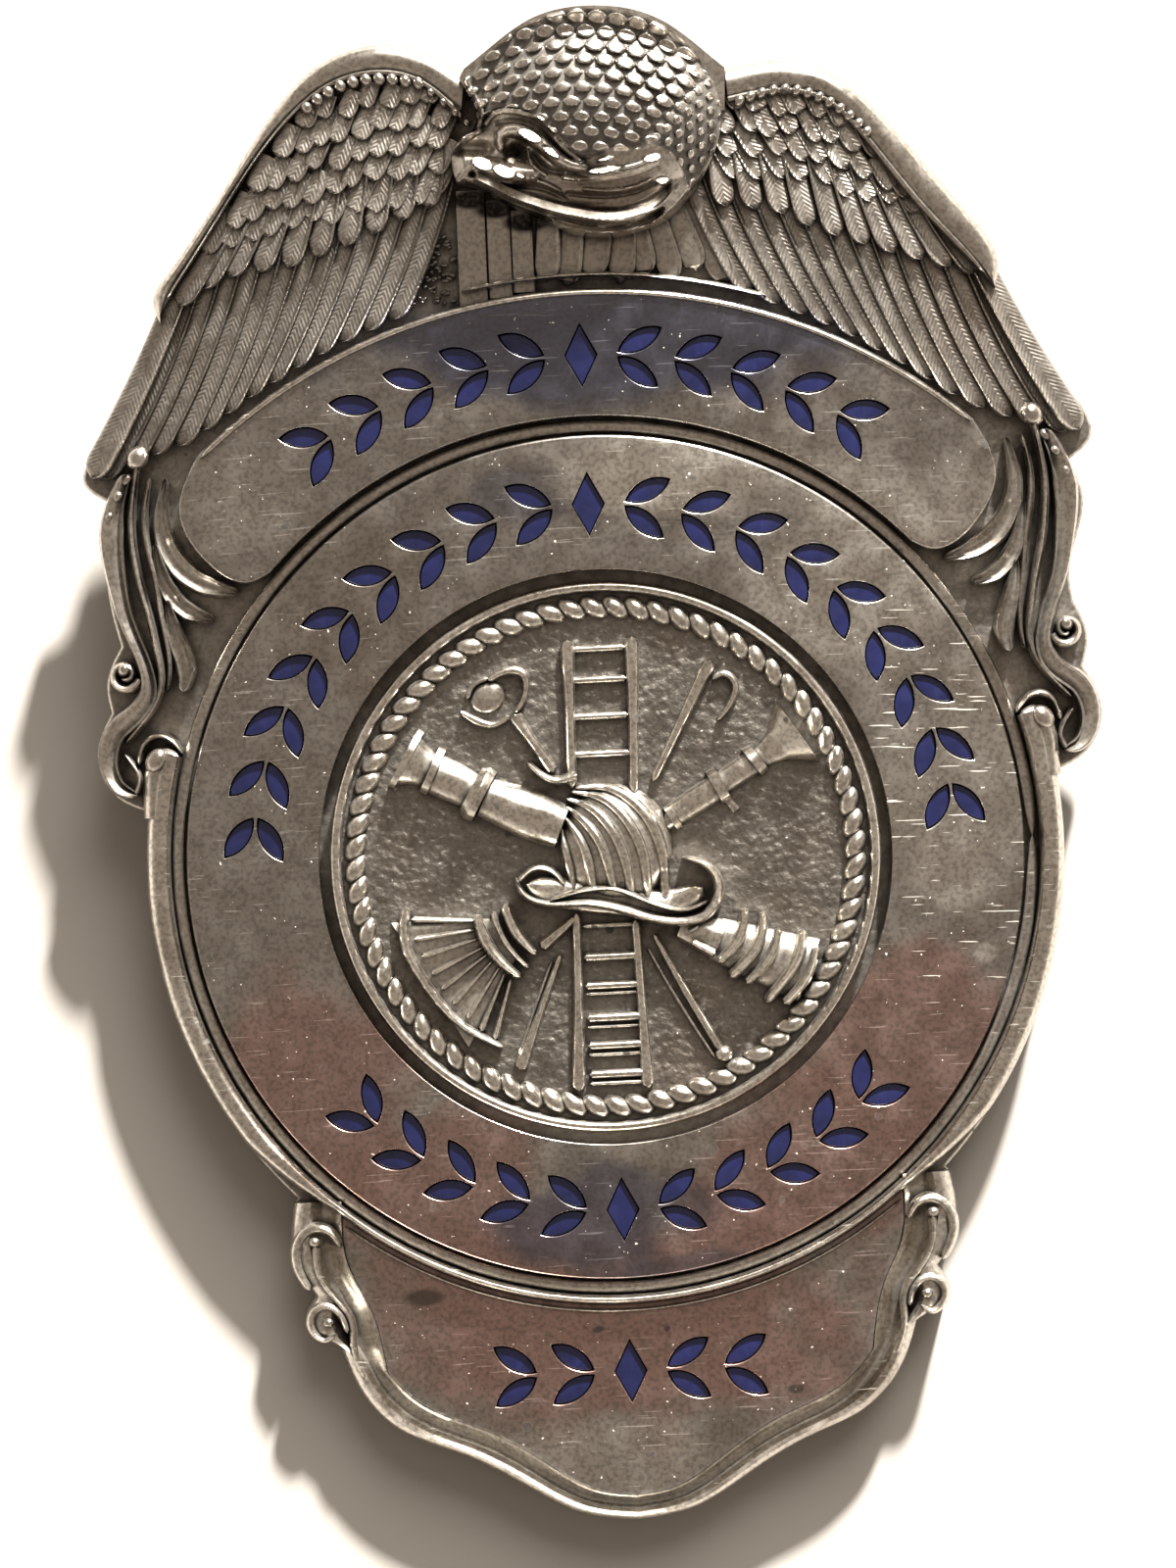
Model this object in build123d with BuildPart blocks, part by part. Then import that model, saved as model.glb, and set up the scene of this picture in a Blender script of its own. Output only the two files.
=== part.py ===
from build123d import *
import os
from math import atan2, cos, degrees, radians, sin

os.makedirs("parts", exist_ok=True)

# Firefighter's breast badge, in millimetres.
# It is drawn flat, as seen from the front: X to the wearer's left, Y up the badge, Z towards
# the viewer, with Z = 0 on the field at the middle of the ring. The plate is arched about the
# Y direction. At the end every piece is laid back to the pose in which the badge rests.

# Plate
arch_radius = 85.0          # radius of the plate's bend from side to side
plate_thickness = 1.3       # metal behind the field
root_depth = 0.3            # how far each raised layer reaches down into the plate
prism_reach = 12.0          # half height of the upright prisms that the layers are cut from
plate_span = 90.0           # length that covers the whole badge in any direction

# Heights above the arched field
long_feather_height = 0.7
mid_feather_height = 1.0
covert_height = 1.25
leading_edge_height = 1.45
scroll_height = 1.2
leaf_height = 0.85
banner_height = 1.2
ring_height = 1.0
rim_height = 1.3
base_panel_height = 0.7

# Round parts, measured from the middle of the ring
ring_outer_radius = 19.0
rim_inner_radius = 19.75
rim_outer_radius = 20.9
base_bead_radius = 20.15
rim_top_y = 5.6             # where the rim ends under the side scrolls
seat_radius = 12.95
seat_floor = -0.75

# Seal
seal_radius = 12.7
seal_bottom = -0.7
seal_field = 0.1
seal_rim_width = 0.5
seal_rim_top = 0.6
rope_radius = 11.35
rope_strand_size = (1.15, 0.6)
rope_strand_slant = 55.0
rope_top = 0.55
rope_strands = 66

# Enamel
cell_depth = 0.4
enamel_below_edge = 0.15
piece_gap = 0.05
motif_leaf_length = 2.3
motif_leaf_width = 0.95
motif_leaf_angle = 33.0     # between a leaf and the line of its spray
motif_leaf_spread = 0.72    # from the line of the spray to the middle of a leaf
motif_pitch = 2.6
lozenge_size = (1.5, 2.9)
point_trim = 2.0            # a pointed end goes back by this many times the trim of a side

# Clasp
clasp_y = 11.5
clasp_x = 11.0
clasp_foot_size = (3.4, 3.6)
clasp_bottom = -7.0
clasp_stem_z = -5.3
clasp_stem_radius = 0.6
clasp_foot_round = 0.5

# Eagle's head
head_centre = (0.95, 33.1)
head_half_size = (6.1, 4.9)
head_height = 4.1


def mirrored(points):
    """The same points on the other side of the badge's middle line, in the opposite order."""
    return [(-x, y) for x, y in reversed(points)]


def outlined(*runs):
    """Flat face inside runs that join end to end: two points are a line, more are a curve."""
    with BuildSketch() as area:
        with BuildLine():
            for run in runs:
                if len(run) == 2:
                    Line(*run)
                else:
                    Spline(*run)
        make_face()
    return area.sketch


def stroked(points, width):
    """Flat band of one width along a curve, with round ends."""
    with BuildSketch() as band:
        with BuildLine():
            Spline(*points)
        trace(line_width=width)
        with Locations(points[0], points[-1]):
            Circle(width / 2)
    return band.sketch


def arch_shell(low, high):
    """Arched block between two heights above the field."""
    with BuildPart() as shell:
        with BuildSketch(Plane.XZ.offset(-plate_span / 2)):
            with Locations((0, -arch_radius)):
                Circle(arch_radius + high)
                Circle(arch_radius + low, mode=Mode.SUBTRACT)
            Rectangle(plate_span, 2 * prism_reach, mode=Mode.INTERSECT)
        extrude(amount=plate_span)
    return shell.part


def raised(face, high, low=-root_depth):
    """Solid that stands over a flat face and follows the arch between two heights."""
    with BuildPart() as layer:
        with BuildSketch(Plane.XY.offset(-prism_reach)):
            add(face)
        extrude(amount=2 * prism_reach)
        add(arch_shell(low, high), mode=Mode.INTERSECT)
    return layer.part


def along(points, count):
    """Evenly spaced places along a chain of straight runs."""
    with BuildLine() as chain:
        Polyline(*points)
    return [chain.line @ (step / (count - 1)) for step in range(count)]


def feather_row(roots, tips, count, width):
    """Flat face of a row of round-ended feathers that fan out from roots to tips."""
    with BuildSketch() as row:
        for root, tip in zip(along(roots, count), along(tips, count)):
            spine = tip - root
            middle = (root + tip) / 2
            with Locations(Location((middle.X, middle.Y), degrees(atan2(spine.Y, spine.X)))):
                SlotOverall(spine.length, width)
    return row.sketch


# Outlines of the plate, from the middle of the ring

left_wing_top = [
    (-4.6, 35.6), (-7.0, 36.9), (-9.0, 37.1), (-11.0, 36.5), (-13.0, 34.8), (-16.0, 30.7), (-18.6, 27.3),
]
left_wing_step = [(-18.6, 27.3), (-19.3, 26.3), (-18.95, 25.0)]
left_wing_side = [(-18.95, 25.0), (-21.0, 21.5), (-22.4, 19.6)]
left_wing_tip = [(-22.4, 19.6), (-23.0, 18.3), (-21.4, 17.0)]
right_wing_top = [(7.1, 35.2), (9.3, 35.55), (11.5, 35.1), (13.2, 33.9), (16.0, 30.7), (18.6, 27.5)]
right_wing_step = [(18.6, 27.5), (19.15, 26.3), (18.95, 24.9)]
right_wing_side = [(18.95, 24.9), (21.2, 21.2), (22.7, 19.6)]
right_wing_tip = [(22.7, 19.6), (23.15, 18.2), (22.0, 17.0)]
crown_outline = [
    (-4.6, 35.6), (-3.5, 36.4), (-1.4, 37.7), (1.0, 38.1), (4.0, 37.5), (6.0, 36.15), (7.1, 35.2),
]

left_scroll_side = [(-21.4, 17.0), (-22.1, 14.0), (-21.6, 10.6)]
left_scroll_curl = [(-21.6, 10.6), (-22.35, 8.9), (-22.2, 7.6)]
left_scroll_foot = [(-22.2, 7.6), (-22.95, 5.8), (-22.2, 3.8), (-20.4, 2.9)]
right_scroll_side = [(22.0, 17.0), (22.6, 15.4), (21.8, 11.9), (21.9, 10.6)]
right_scroll_curl = [(21.9, 10.6), (22.5, 8.9), (22.2, 7.6)]
right_scroll_foot = [(22.2, 7.6), (23.0, 5.5), (22.2, 3.7), (20.4, 2.8)]

base_scroll = [(-14.6, -13.8), (-15.1, -16.4), (-14.9, -18.0), (-14.1, -19.2)]
base_curl = [(-14.1, -19.2), (-14.65, -20.3), (-13.1, -21.5)]
base_foot = [
    (-13.1, -21.5), (-12.3, -23.6), (-10.7, -25.4), (-8.0, -26.6), (-5.0, -28.2), (-2.6, -29.5),
    (0.0, -29.95),
]
base_panel_side = [(-12.7, -15.0), (-12.5, -18.0), (-11.7, -19.7), (-11.0, -22.8)]
base_panel_foot = [
    (-11.0, -22.8), (-9.8, -24.1), (-6.7, -25.6), (-4.0, -27.2), (-1.8, -28.5), (0.0, -28.8),
]

banner_top_radius = 26.8
banner_top_centre_y = -1.2
banner_foot_radius = 19.85
banner_corner_x = 17.6
banner_heel_x = 14.5
banner_end = [(18.55, 16.6), (17.4, 14.2), (15.5, 13.15)]


def plate_outline():
    """The whole silhouette of the badge."""
    with BuildSketch() as outline:
        Circle(rim_outer_radius)
        add(outlined(
            left_wing_top, left_wing_step, left_wing_side, left_wing_tip, left_scroll_side,
            left_scroll_curl, left_scroll_foot,
            [left_scroll_foot[-1], right_scroll_foot[-1]],
            right_scroll_foot[::-1], right_scroll_curl[::-1], right_scroll_side[::-1],
            right_wing_tip[::-1], right_wing_side[::-1], right_wing_step[::-1], right_wing_top[::-1],
            crown_outline[::-1],
        ))
        add(base_outline())
    return outline.sketch


def base_outline():
    """Outer outline of the base, closed inside the ring."""
    return outlined(
        base_scroll, base_curl, base_foot, mirrored(base_foot), mirrored(base_curl),
        mirrored(base_scroll), [(-base_scroll[0][0], base_scroll[0][1]), base_scroll[0]],
    )


def base_panel():
    """Sunk polished panel of the base, below the ring's bead."""
    with BuildSketch() as panel:
        add(outlined(
            base_panel_side, base_panel_foot, mirrored(base_panel_foot), mirrored(base_panel_side),
            [(-base_panel_side[0][0], base_panel_side[0][1]), base_panel_side[0]],
        ))
        Circle(base_bead_radius, mode=Mode.SUBTRACT)
    return panel.sketch


def base_border():
    """Raised border of the base, outside its panel and the ring."""
    with BuildSketch() as border:
        add(base_outline())
        add(base_panel(), mode=Mode.SUBTRACT)
        Circle(base_bead_radius, mode=Mode.SUBTRACT)
    return border.sketch


def rim_band():
    """Round rim from one side scroll, under the ring, to the other."""
    with BuildSketch() as rim:
        Circle(rim_outer_radius)
        Circle(rim_inner_radius, mode=Mode.SUBTRACT)
        with Locations((0, rim_top_y + plate_span / 2)):
            Rectangle(plate_span, plate_span, mode=Mode.SUBTRACT)
        add(base_panel(), mode=Mode.SUBTRACT)
    return rim.sketch


def banner():
    """Polished title banner over the ring, with round ends."""
    corner_y = banner_top_centre_y + (banner_top_radius**2 - banner_corner_x**2) ** 0.5
    heel_y = (banner_foot_radius**2 - banner_heel_x**2) ** 0.5
    corner = (banner_corner_x, corner_y)
    heel = (banner_heel_x, heel_y)
    far_corner = (-banner_corner_x, corner_y)
    far_heel = (-banner_heel_x, heel_y)
    with BuildSketch() as face:
        with BuildLine():
            ThreePointArc(far_corner, (0, banner_top_centre_y + banner_top_radius), corner)
            Spline(corner, *banner_end, heel)
            ThreePointArc(heel, (0, banner_foot_radius), far_heel)
            Spline(far_heel, *mirrored(banner_end), far_corner)
        make_face()
    return face.sketch


feather_rows = [
    # roots, tips, count, width, height
    (
        [(5.2, 31.0), (9.0, 30.0), (17.6, 27.4)],
        [(7.6, 25.9), (11.9, 23.8), (14.6, 22.1), (17.4, 20.1), (19.4, 19.3), (21.9, 18.3)],
        13, 0.95, long_feather_height,
    ),
    (
        [(6.6, 33.0), (11.0, 32.6), (15.6, 29.8)],
        [(6.4, 29.2), (8.8, 28.9), (11.0, 27.8), (14.5, 26.7), (18.4, 25.6)],
        10, 1.0, mid_feather_height,
    ),
    (
        [(-5.6, 31.6), (-9.0, 30.6), (-17.4, 27.2)],
        [
            (-8.2, 25.5), (-10.6, 24.4), (-12.6, 23.3), (-15.2, 22.2), (-18.0, 20.3), (-19.8, 19.8),
            (-22.0, 18.3),
        ],
        13, 0.95, long_feather_height,
    ),
    (
        [(-6.0, 33.6), (-10.5, 33.4), (-15.4, 30.2)],
        [(-6.6, 29.6), (-10.0, 28.2), (-13.0, 27.3), (-16.4, 27.0), (-18.4, 25.8)],
        10, 1.0, mid_feather_height,
    ),
]

covert_scale_radius = 0.55
covert_rows = [
    # start, end, count of the small round scales near each shoulder
    ((7.6, 33.2), (11.6, 33.0), 5),
    ((7.3, 32.1), (12.6, 31.9), 6),
    ((7.5, 31.0), (12.9, 30.9), 6),
    ((-6.4, 34.2), (-11.2, 34.3), 5),
    ((-6.6, 33.1), (-12.4, 33.1), 6),
    ((-6.9, 32.0), (-12.9, 31.9), 6),
    ((-7.2, 30.9), (-12.8, 30.6), 6),
]

left_edge_inner = [(-18.95, 25.6), (-16.5, 29.0), (-12.5, 34.0), (-10.5, 35.3), (-6.8, 35.2), (-4.9, 33.4)]
right_edge_inner = [(18.7, 25.2), (15.0, 29.3), (12.7, 32.4), (11.5, 33.5), (9.6, 33.9), (7.2, 33.6)]


def coverts():
    """Rows of small round scales near both shoulders."""
    with BuildSketch() as scales:
        for start, end, count in covert_rows:
            with Locations(*along([start, end], count)):
                Circle(covert_scale_radius)
    return scales.sketch


def leading_edges():
    """Smooth rounded front edges of both wings."""
    with BuildSketch() as edges:
        add(outlined(
            left_wing_top, left_wing_step, [left_wing_step[-1], left_edge_inner[0]], left_edge_inner,
            [left_edge_inner[-1], left_wing_top[0]],
        ))
        add(outlined(
            right_wing_top, right_wing_step, [right_wing_step[-1], right_edge_inner[0]], right_edge_inner,
            [right_edge_inner[-1], right_wing_top[0]],
        ))
    return edges.sketch


# Side scrolls and acanthus leaves, drawn on the badge's right side

scroll_band = [
    (20.3, 19.0), (20.8, 16.8), (21.4, 14.5), (21.1, 11.6), (20.4, 9.6), (20.9, 7.4), (22.0, 5.9),
    (21.6, 4.3),
]
scroll_strokes = [
    # points, width, height
    (scroll_band, 0.95, scroll_height),
    ([(20.35, 3.2), (19.95, 4.6), (20.2, 5.6)], 0.9, scroll_height),
    ([(19.2, 18.0), (19.5, 15.6), (18.2, 13.6), (16.3, 12.8)], 0.75, leaf_height),
    ([(19.9, 15.4), (19.7, 13.6), (18.8, 12.0), (17.5, 11.6)], 0.7, leaf_height),
    ([(19.7, 11.6), (19.4, 9.8), (19.0, 8.6)], 0.7, leaf_height),
]
scroll_beads = [
    # x, y, radius
    (20.4, 19.1, 0.55),
    (21.45, 9.2, 0.75),
    (20.2, 5.5, 0.85),
]
base_beads = [(14.0, -16.7, 0.75), (13.6, -20.1, 0.7)]


def both_sides(face):
    """A face and its mirror image across the badge's middle line."""
    with BuildSketch() as pair:
        add(face)
        mirror(face, about=Plane.YZ)
    return pair.sketch


def beads(places):
    """Round beads at places that hold x, y and radius."""
    with BuildSketch() as dots:
        for x, y, radius in places:
            with Locations((x, y)):
                Circle(radius)
    return dots.sketch


# Enamel fields: a generic spray of leaf pairs on both sides of a lozenge

def leaf_shape(trim):
    """Pointed leaf, drawn along X from its stalk end, made smaller all round by trim."""
    half_length = motif_leaf_length / 2 - point_trim * trim
    half_width = motif_leaf_width / 2 - trim
    with BuildSketch() as leaf:
        with BuildLine():
            ThreePointArc((-half_length, 0), (0, half_width), (half_length, 0))
            ThreePointArc((half_length, 0), (0, -half_width), (-half_length, 0))
        make_face()
    return leaf.sketch


def lozenge_shape(trim):
    """Upright lozenge at the middle of a spray."""
    half_width = lozenge_size[0] / 2 - trim
    half_height = lozenge_size[1] / 2 - point_trim * trim
    with BuildSketch() as lozenge:
        with BuildLine():
            Polyline((0, half_height), (half_width, 0), (0, -half_height), (-half_width, 0), close=True)
        make_face()
    return lozenge.sketch


def spray(place_at, pairs_each_side, trim):
    """Leaf pairs that point away from a lozenge; place_at gives x, y and heading at a distance."""
    with BuildSketch() as field:
        x, y, heading = place_at(0.0)
        with Locations(Location((x, y), heading)):
            add(lozenge_shape(trim))
        for side in (-1, 1):
            for pair in range(pairs_each_side):
                x, y, heading = place_at(side * (pair + 1) * motif_pitch)
                turn = heading if side > 0 else heading + 180
                across = radians(turn + 90)
                for half in (-1, 1):
                    spread = half * motif_leaf_spread
                    place = (x + spread * cos(across), y + spread * sin(across))
                    with Locations(Location(place, turn + half * motif_leaf_angle)):
                        add(leaf_shape(trim))
    return field.sketch


def on_arc(radius, centre_y, middle_angle):
    """Places along an arc: distance runs clockwise from the middle angle."""
    def place_at(distance):
        angle = radians(middle_angle) - distance / radius
        return radius * cos(angle), centre_y + radius * sin(angle), degrees(angle) - 90
    return place_at


def on_line(y):
    """Places along a level line."""
    def place_at(distance):
        return distance, y, 0.0
    return place_at


enamel_fields = {
    # name: places, leaf pairs on each side, height of the metal around them
    "title_enamel": (on_arc(22.6, 0.0, 90), 5, banner_height),
    "ring_enamel_upper": (on_arc(15.9, 0.0, 90), 9, ring_height),
    "ring_enamel_lower": (on_arc(15.9, 0.0, -90), 5, ring_height),
    "base_enamel": (on_line(-23.2), 2, base_panel_height),
}


def enamel_cells(name):
    """Sunk cells that hold one field of enamel."""
    place_at, pairs, height = enamel_fields[name]
    return raised(spray(place_at, pairs, 0.0), height + root_depth, height - cell_depth)


def enamel_inlay(name):
    """One field of enamel, a small gap inside its cells."""
    place_at, pairs, height = enamel_fields[name]
    return raised(
        spray(place_at, pairs, piece_gap), height - enamel_below_edge, height - cell_depth + piece_gap
    )


def rod(start, end, start_radius, end_radius):
    """Round bar or cone between two points, with radii at its ends."""
    start = Vector(*start)
    axis = Vector(*end) - start
    with BuildPart() as bar:
        with Locations(Plane(origin=start, z_dir=axis)):
            if start_radius == end_radius:
                Cylinder(start_radius, axis.length, align=(Align.CENTER, Align.CENTER, Align.MIN))
            else:
                Cone(start_radius, end_radius, axis.length, align=(Align.CENTER, Align.CENTER, Align.MIN))
    return bar.part


def on_arch(x, y, height):
    """Point at a height above the arched field."""
    return (x, y, (arch_radius**2 - x**2) ** 0.5 - arch_radius + height)


def dome(centre, half_size, height):
    """Upper half of an ellipsoid that stands on the field."""
    with BuildPart() as cap:
        Sphere(1.0)
        Box(2, 2, 1, align=(Align.CENTER, Align.CENTER, Align.MAX), mode=Mode.SUBTRACT)
        scale(by=(half_size[0], half_size[1], height))
    cap.part.position = on_arch(*centre, 0.0)
    return cap.part


# Eagle's head in profile: beak, brow, cheek and jaw bars on the dome
head_bars = [
    # start x, y, height; end x, y, height; radius at start and end
    ((-0.6, 31.4, 2.4), (-4.7, 31.0, 1.6), 1.7, 0.4),
    ((-4.6, 31.05, 1.6), (-4.95, 30.5, 1.3), 0.42, 0.15),
    ((-3.4, 32.6, 2.5), (0.5, 31.2, 3.5), 0.35, 0.5),
    ((-4.2, 30.5, 1.5), (-1.0, 29.1, 2.4), 0.35, 0.5),
    ((-1.0, 29.1, 2.4), (2.4, 28.7, 2.6), 0.5, 0.5),
    ((2.4, 28.7, 2.6), (4.6, 30.2, 2.9), 0.5, 0.3),
]

relief = [
    raised(plate_outline(), 0.0, -plate_thickness),
    raised(base_panel(), base_panel_height),
    raised(base_border(), rim_height),
    raised(rim_band(), rim_height),
    raised(banner(), banner_height),
    raised(leading_edges(), leading_edge_height),
    raised(coverts(), covert_height),
    raised(both_sides(beads(scroll_beads)), scroll_height + root_depth),
    raised(both_sides(beads(base_beads)), rim_height + root_depth),
    dome(head_centre, head_half_size, head_height),
]
for roots, tips, count, width, height in feather_rows:
    relief.append(raised(feather_row(roots, tips, count, width), height))
for points, width, height in scroll_strokes:
    relief.append(raised(both_sides(stroked(points, width)), height))
for start, end, start_radius, end_radius in head_bars:
    relief.append(rod(on_arch(*start), on_arch(*end), start_radius, end_radius))

with BuildSketch() as ring_disc:
    Circle(ring_outer_radius)
relief.append(raised(ring_disc.sketch, ring_height))

cells = [enamel_cells(name) for name in enamel_fields]

with BuildPart() as struck_plate:
    add(relief)
    with Locations((0, 0, seat_floor)):
        Cylinder(
            seat_radius, prism_reach, align=(Align.CENTER, Align.CENTER, Align.MIN), mode=Mode.SUBTRACT
        )
    add(cells, mode=Mode.SUBTRACT)

struck_plate.part.label = "struck_plate"

# Seal: a flat disc with a rim, a rope border and the fire-service emblem

emblem_bars = [
    # start x, y; end x, y; radius at start and end
    ((-1.25, 9.7), (-1.35, 3.0), 0.25, 0.27),
    ((1.65, 9.7), (1.4, 2.6), 0.25, 0.27),
    ((-1.35, -2.2), (-1.7, -10.5), 0.27, 0.25),
    ((1.3, -2.6), (1.35, -10.5), 0.27, 0.25),
    ((-3.8, 6.7), (-2.1, 3.9), 0.27, 0.3),
    ((-2.0, 1.3), (-5.2, 3.0), 1.0, 0.85),
    ((-5.2, 3.0), (-5.6, 3.2), 1.1, 1.1),
    ((-5.6, 3.2), (-7.7, 4.4), 0.8, 0.75),
    ((-7.7, 4.4), (-8.8, 5.0), 0.75, 1.15),
    ((2.4, 1.1), (5.3, 2.8), 0.55, 0.62),
    ((5.3, 2.8), (7.0, 3.9), 0.5, 0.5),
    ((7.0, 3.9), (8.6, 5.0), 0.5, 1.3),
    ((5.2, 8.6), (2.2, 3.2), 0.27, 0.2),
    ((5.5, 8.0), (6.2, 7.6), 0.16, 0.16),
    ((6.2, 7.6), (5.3, 5.9), 0.18, 0.12),
    ((-3.1, -3.9), (-1.5, -2.7), 0.25, 0.28),
    ((-2.3, -3.4), (-4.5, -9.5), 0.18, 0.26),
    ((2.0, -3.4), (4.9, -9.1), 0.18, 0.2),
    ((3.2, -3.2), (8.6, -5.5), 0.6, 1.05),
]
rung_places = [9.4, 8.0, 6.35, 4.7, -3.1, -4.55, -5.8, -7.2, -8.65, -10.1]
rung_ends = (-1.4, 1.5)
rung_radius = 0.16
coupling_rings = [0.15, 0.33, 0.5, 0.67, 0.95]
coupling_ring_radius = (0.85, 1.35)
coupling_ring_width = 0.28
knob_place = (4.9, -9.15)
knob_radius = 0.35
spanner_centre = (-4.7, 7.5)
spanner_radius = 1.35
spanner_thickness = 0.24
helmet_centre = (0.5, 0.5)
helmet_half_size = (2.5, 2.7)
helmet_height = 1.5
helmet_brim = [
    (-4.0, -0.9), (-3.0, -1.8), (-1.0, -2.0), (1.0, -2.35), (3.2, -2.9), (4.6, -2.4), (4.9, -1.3),
    (3.6, -0.3),
]
helmet_brim_width = 0.5
helmet_brim_top = 1.2
bell_fan = [(-4.1, -3.2), (-9.2, -1.8), (-8.4, -5.4), (-5.1, -8.4)]
bell_fan_top = 0.4
bell_rim_width = 0.35
bell_rim_top = 0.75
bell_rings = [
    [(-5.9, -2.2), (-5.5, -3.9), (-4.2, -5.1)],
    [(-4.8, -2.0), (-4.4, -3.3), (-3.3, -4.3)],
]


def flat_prism(face, low, high):
    """Solid with a flat top and bottom over a flat face."""
    with BuildPart() as prism:
        with BuildSketch(Plane.XY.offset(low)):
            add(face)
        extrude(amount=high - low)
    return prism.part


def rope_border():
    """Slanted strands of the rope border."""
    with BuildSketch() as strands:
        with PolarLocations(rope_radius, rope_strands):
            with Locations(Location((0, 0), rope_strand_slant)):
                SlotOverall(*rope_strand_size)
    return strands.sketch


def ring_between(outer, inner):
    """Flat ring."""
    with BuildSketch() as ring:
        Circle(outer)
        Circle(inner, mode=Mode.SUBTRACT)
    return ring.sketch


def on_seal(x, y):
    """Point on the seal's field."""
    return (x, y, seal_field)


def coupling():
    """Threaded rings round the hose coupling."""
    start, end = Vector(3.2, -3.2), Vector(8.6, -5.5)
    along_axis = (end - start).normalized()
    rings = []
    for share in coupling_rings:
        middle = start + (end - start) * share
        radius = coupling_ring_radius[0] + (coupling_ring_radius[1] - coupling_ring_radius[0]) * share
        low = middle - along_axis * (coupling_ring_width / 2)
        high = middle + along_axis * (coupling_ring_width / 2)
        rings.append(rod(on_seal(low.X, low.Y), on_seal(high.X, high.Y), radius, radius))
    return rings


def emblem():
    """Fire-service emblem, half sunk in the seal's field."""
    shapes = coupling()
    for start, end, start_radius, end_radius in emblem_bars:
        shapes.append(rod(on_seal(*start), on_seal(*end), start_radius, end_radius))
    for y in rung_places:
        shapes.append(rod(on_seal(rung_ends[0], y), on_seal(rung_ends[1], y), rung_radius, rung_radius))
    shapes.append(flat_prism(stroked(helmet_brim, helmet_brim_width), 0.0, helmet_brim_top))
    shapes.append(flat_prism(
        outlined(bell_fan[:2], bell_fan[1:], [bell_fan[-1], bell_fan[0]]), 0.0, bell_fan_top
    ))
    shapes.append(flat_prism(stroked(bell_fan[1:], bell_rim_width), 0.0, bell_rim_top))
    for ring in bell_rings:
        shapes.append(flat_prism(stroked(ring, bell_rim_width), 0.0, bell_rim_top))
    shapes.append(dome(helmet_centre, helmet_half_size, helmet_height))
    return shapes


def disc(radius):
    """Flat round face."""
    with BuildSketch() as face:
        Circle(radius)
    return face.sketch


with BuildPart() as emblem_relief:
    for shape in emblem():
        add(shape)
    with Locations(on_seal(*knob_place)):
        Sphere(knob_radius)
    with Locations(on_seal(*spanner_centre)):
        Torus(spanner_radius, spanner_thickness)
    with Locations((0, 0, seal_field - root_depth)):
        Box(
            plate_span, plate_span, prism_reach,
            align=(Align.CENTER, Align.CENTER, Align.MAX), mode=Mode.SUBTRACT,
        )

with BuildPart() as centre_seal:
    add(flat_prism(disc(seal_radius), seal_bottom, seal_field))
    add(flat_prism(ring_between(seal_radius, seal_radius - seal_rim_width), 0.0, seal_rim_top))
    add(flat_prism(rope_border(), 0.0, rope_top))
    add(emblem_relief.part)
centre_seal.part.label = "centre_seal"

# Clasp: hinge block, pin and catch, hidden behind the badge, as one plain piece

with BuildPart() as pin_clasp:
    with Locations((-clasp_x, clasp_y, clasp_bottom), (clasp_x, clasp_y, clasp_bottom)):
        Box(*clasp_foot_size, -clasp_bottom, align=(Align.CENTER, Align.CENTER, Align.MIN))
    fillet(pin_clasp.edges().filter_by(Axis.Z), clasp_foot_round)
    with Locations(Location((0, clasp_y, clasp_stem_z), (0, 90, 0))):
        Cylinder(clasp_stem_radius, 2 * clasp_x)
    add(arch_shell(-plate_thickness - piece_gap, prism_reach / 2), mode=Mode.SUBTRACT)
pin_clasp.part.label = "pin_clasp"

# Enamel: one node for each field

pieces = [struck_plate.part, centre_seal.part, pin_clasp.part]
for name in enamel_fields:
    with BuildPart() as enamel:
        add(enamel_inlay(name))
    enamel.part.label = name
    pieces.append(enamel.part)

# Pose of rest: face up, on the tip of the base and the two feet of the clasp

foot_edge_y = clasp_y - clasp_foot_size[1] / 2
rest_angle = atan2(-plate_thickness - clasp_bottom, foot_edge_y - base_foot[-1][1])
rest_tilt = degrees(rest_angle)
for piece in pieces:
    piece.move(Location((0, 0, 0), (rest_tilt, 0, 0)))
whole = struck_plate.part.bounding_box().add(pin_clasp.part.bounding_box())
tip_drop = plate_thickness * cos(rest_angle) - base_foot[-1][1] * sin(rest_angle)
seat = Location((-whole.center().X, -whole.center().Y, tip_drop))
print(f"rest tilt {rest_tilt:.3f} degrees, seated by {seat.position}")
for piece in pieces:
    piece.move(seat)
    export_step(piece, f"parts/{piece.label}.step")
    print(piece.label, "volume", round(piece.volume, 2), "solids", len(piece.solids()))
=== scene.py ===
# %% [markdown]
# # A firefighter's badge, built as a metal smith would read it
# The badge is one arched plate struck in a die, with a round seal set in its middle, blue enamel
# in sunk cells and a pin clasp behind. We load the measured CAD model first, because everything
# we build here has to sit exactly where it sits. All our pieces are meshes made in code.
# %% Load the measured frame
import random
from math import atan2, cos, degrees, hypot, pi, radians, sin, tau

import bmesh
import bpy
import numpy as np
from mathutils import Matrix, Vector
from mathutils.geometry import delaunay_2d_cdt


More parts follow.
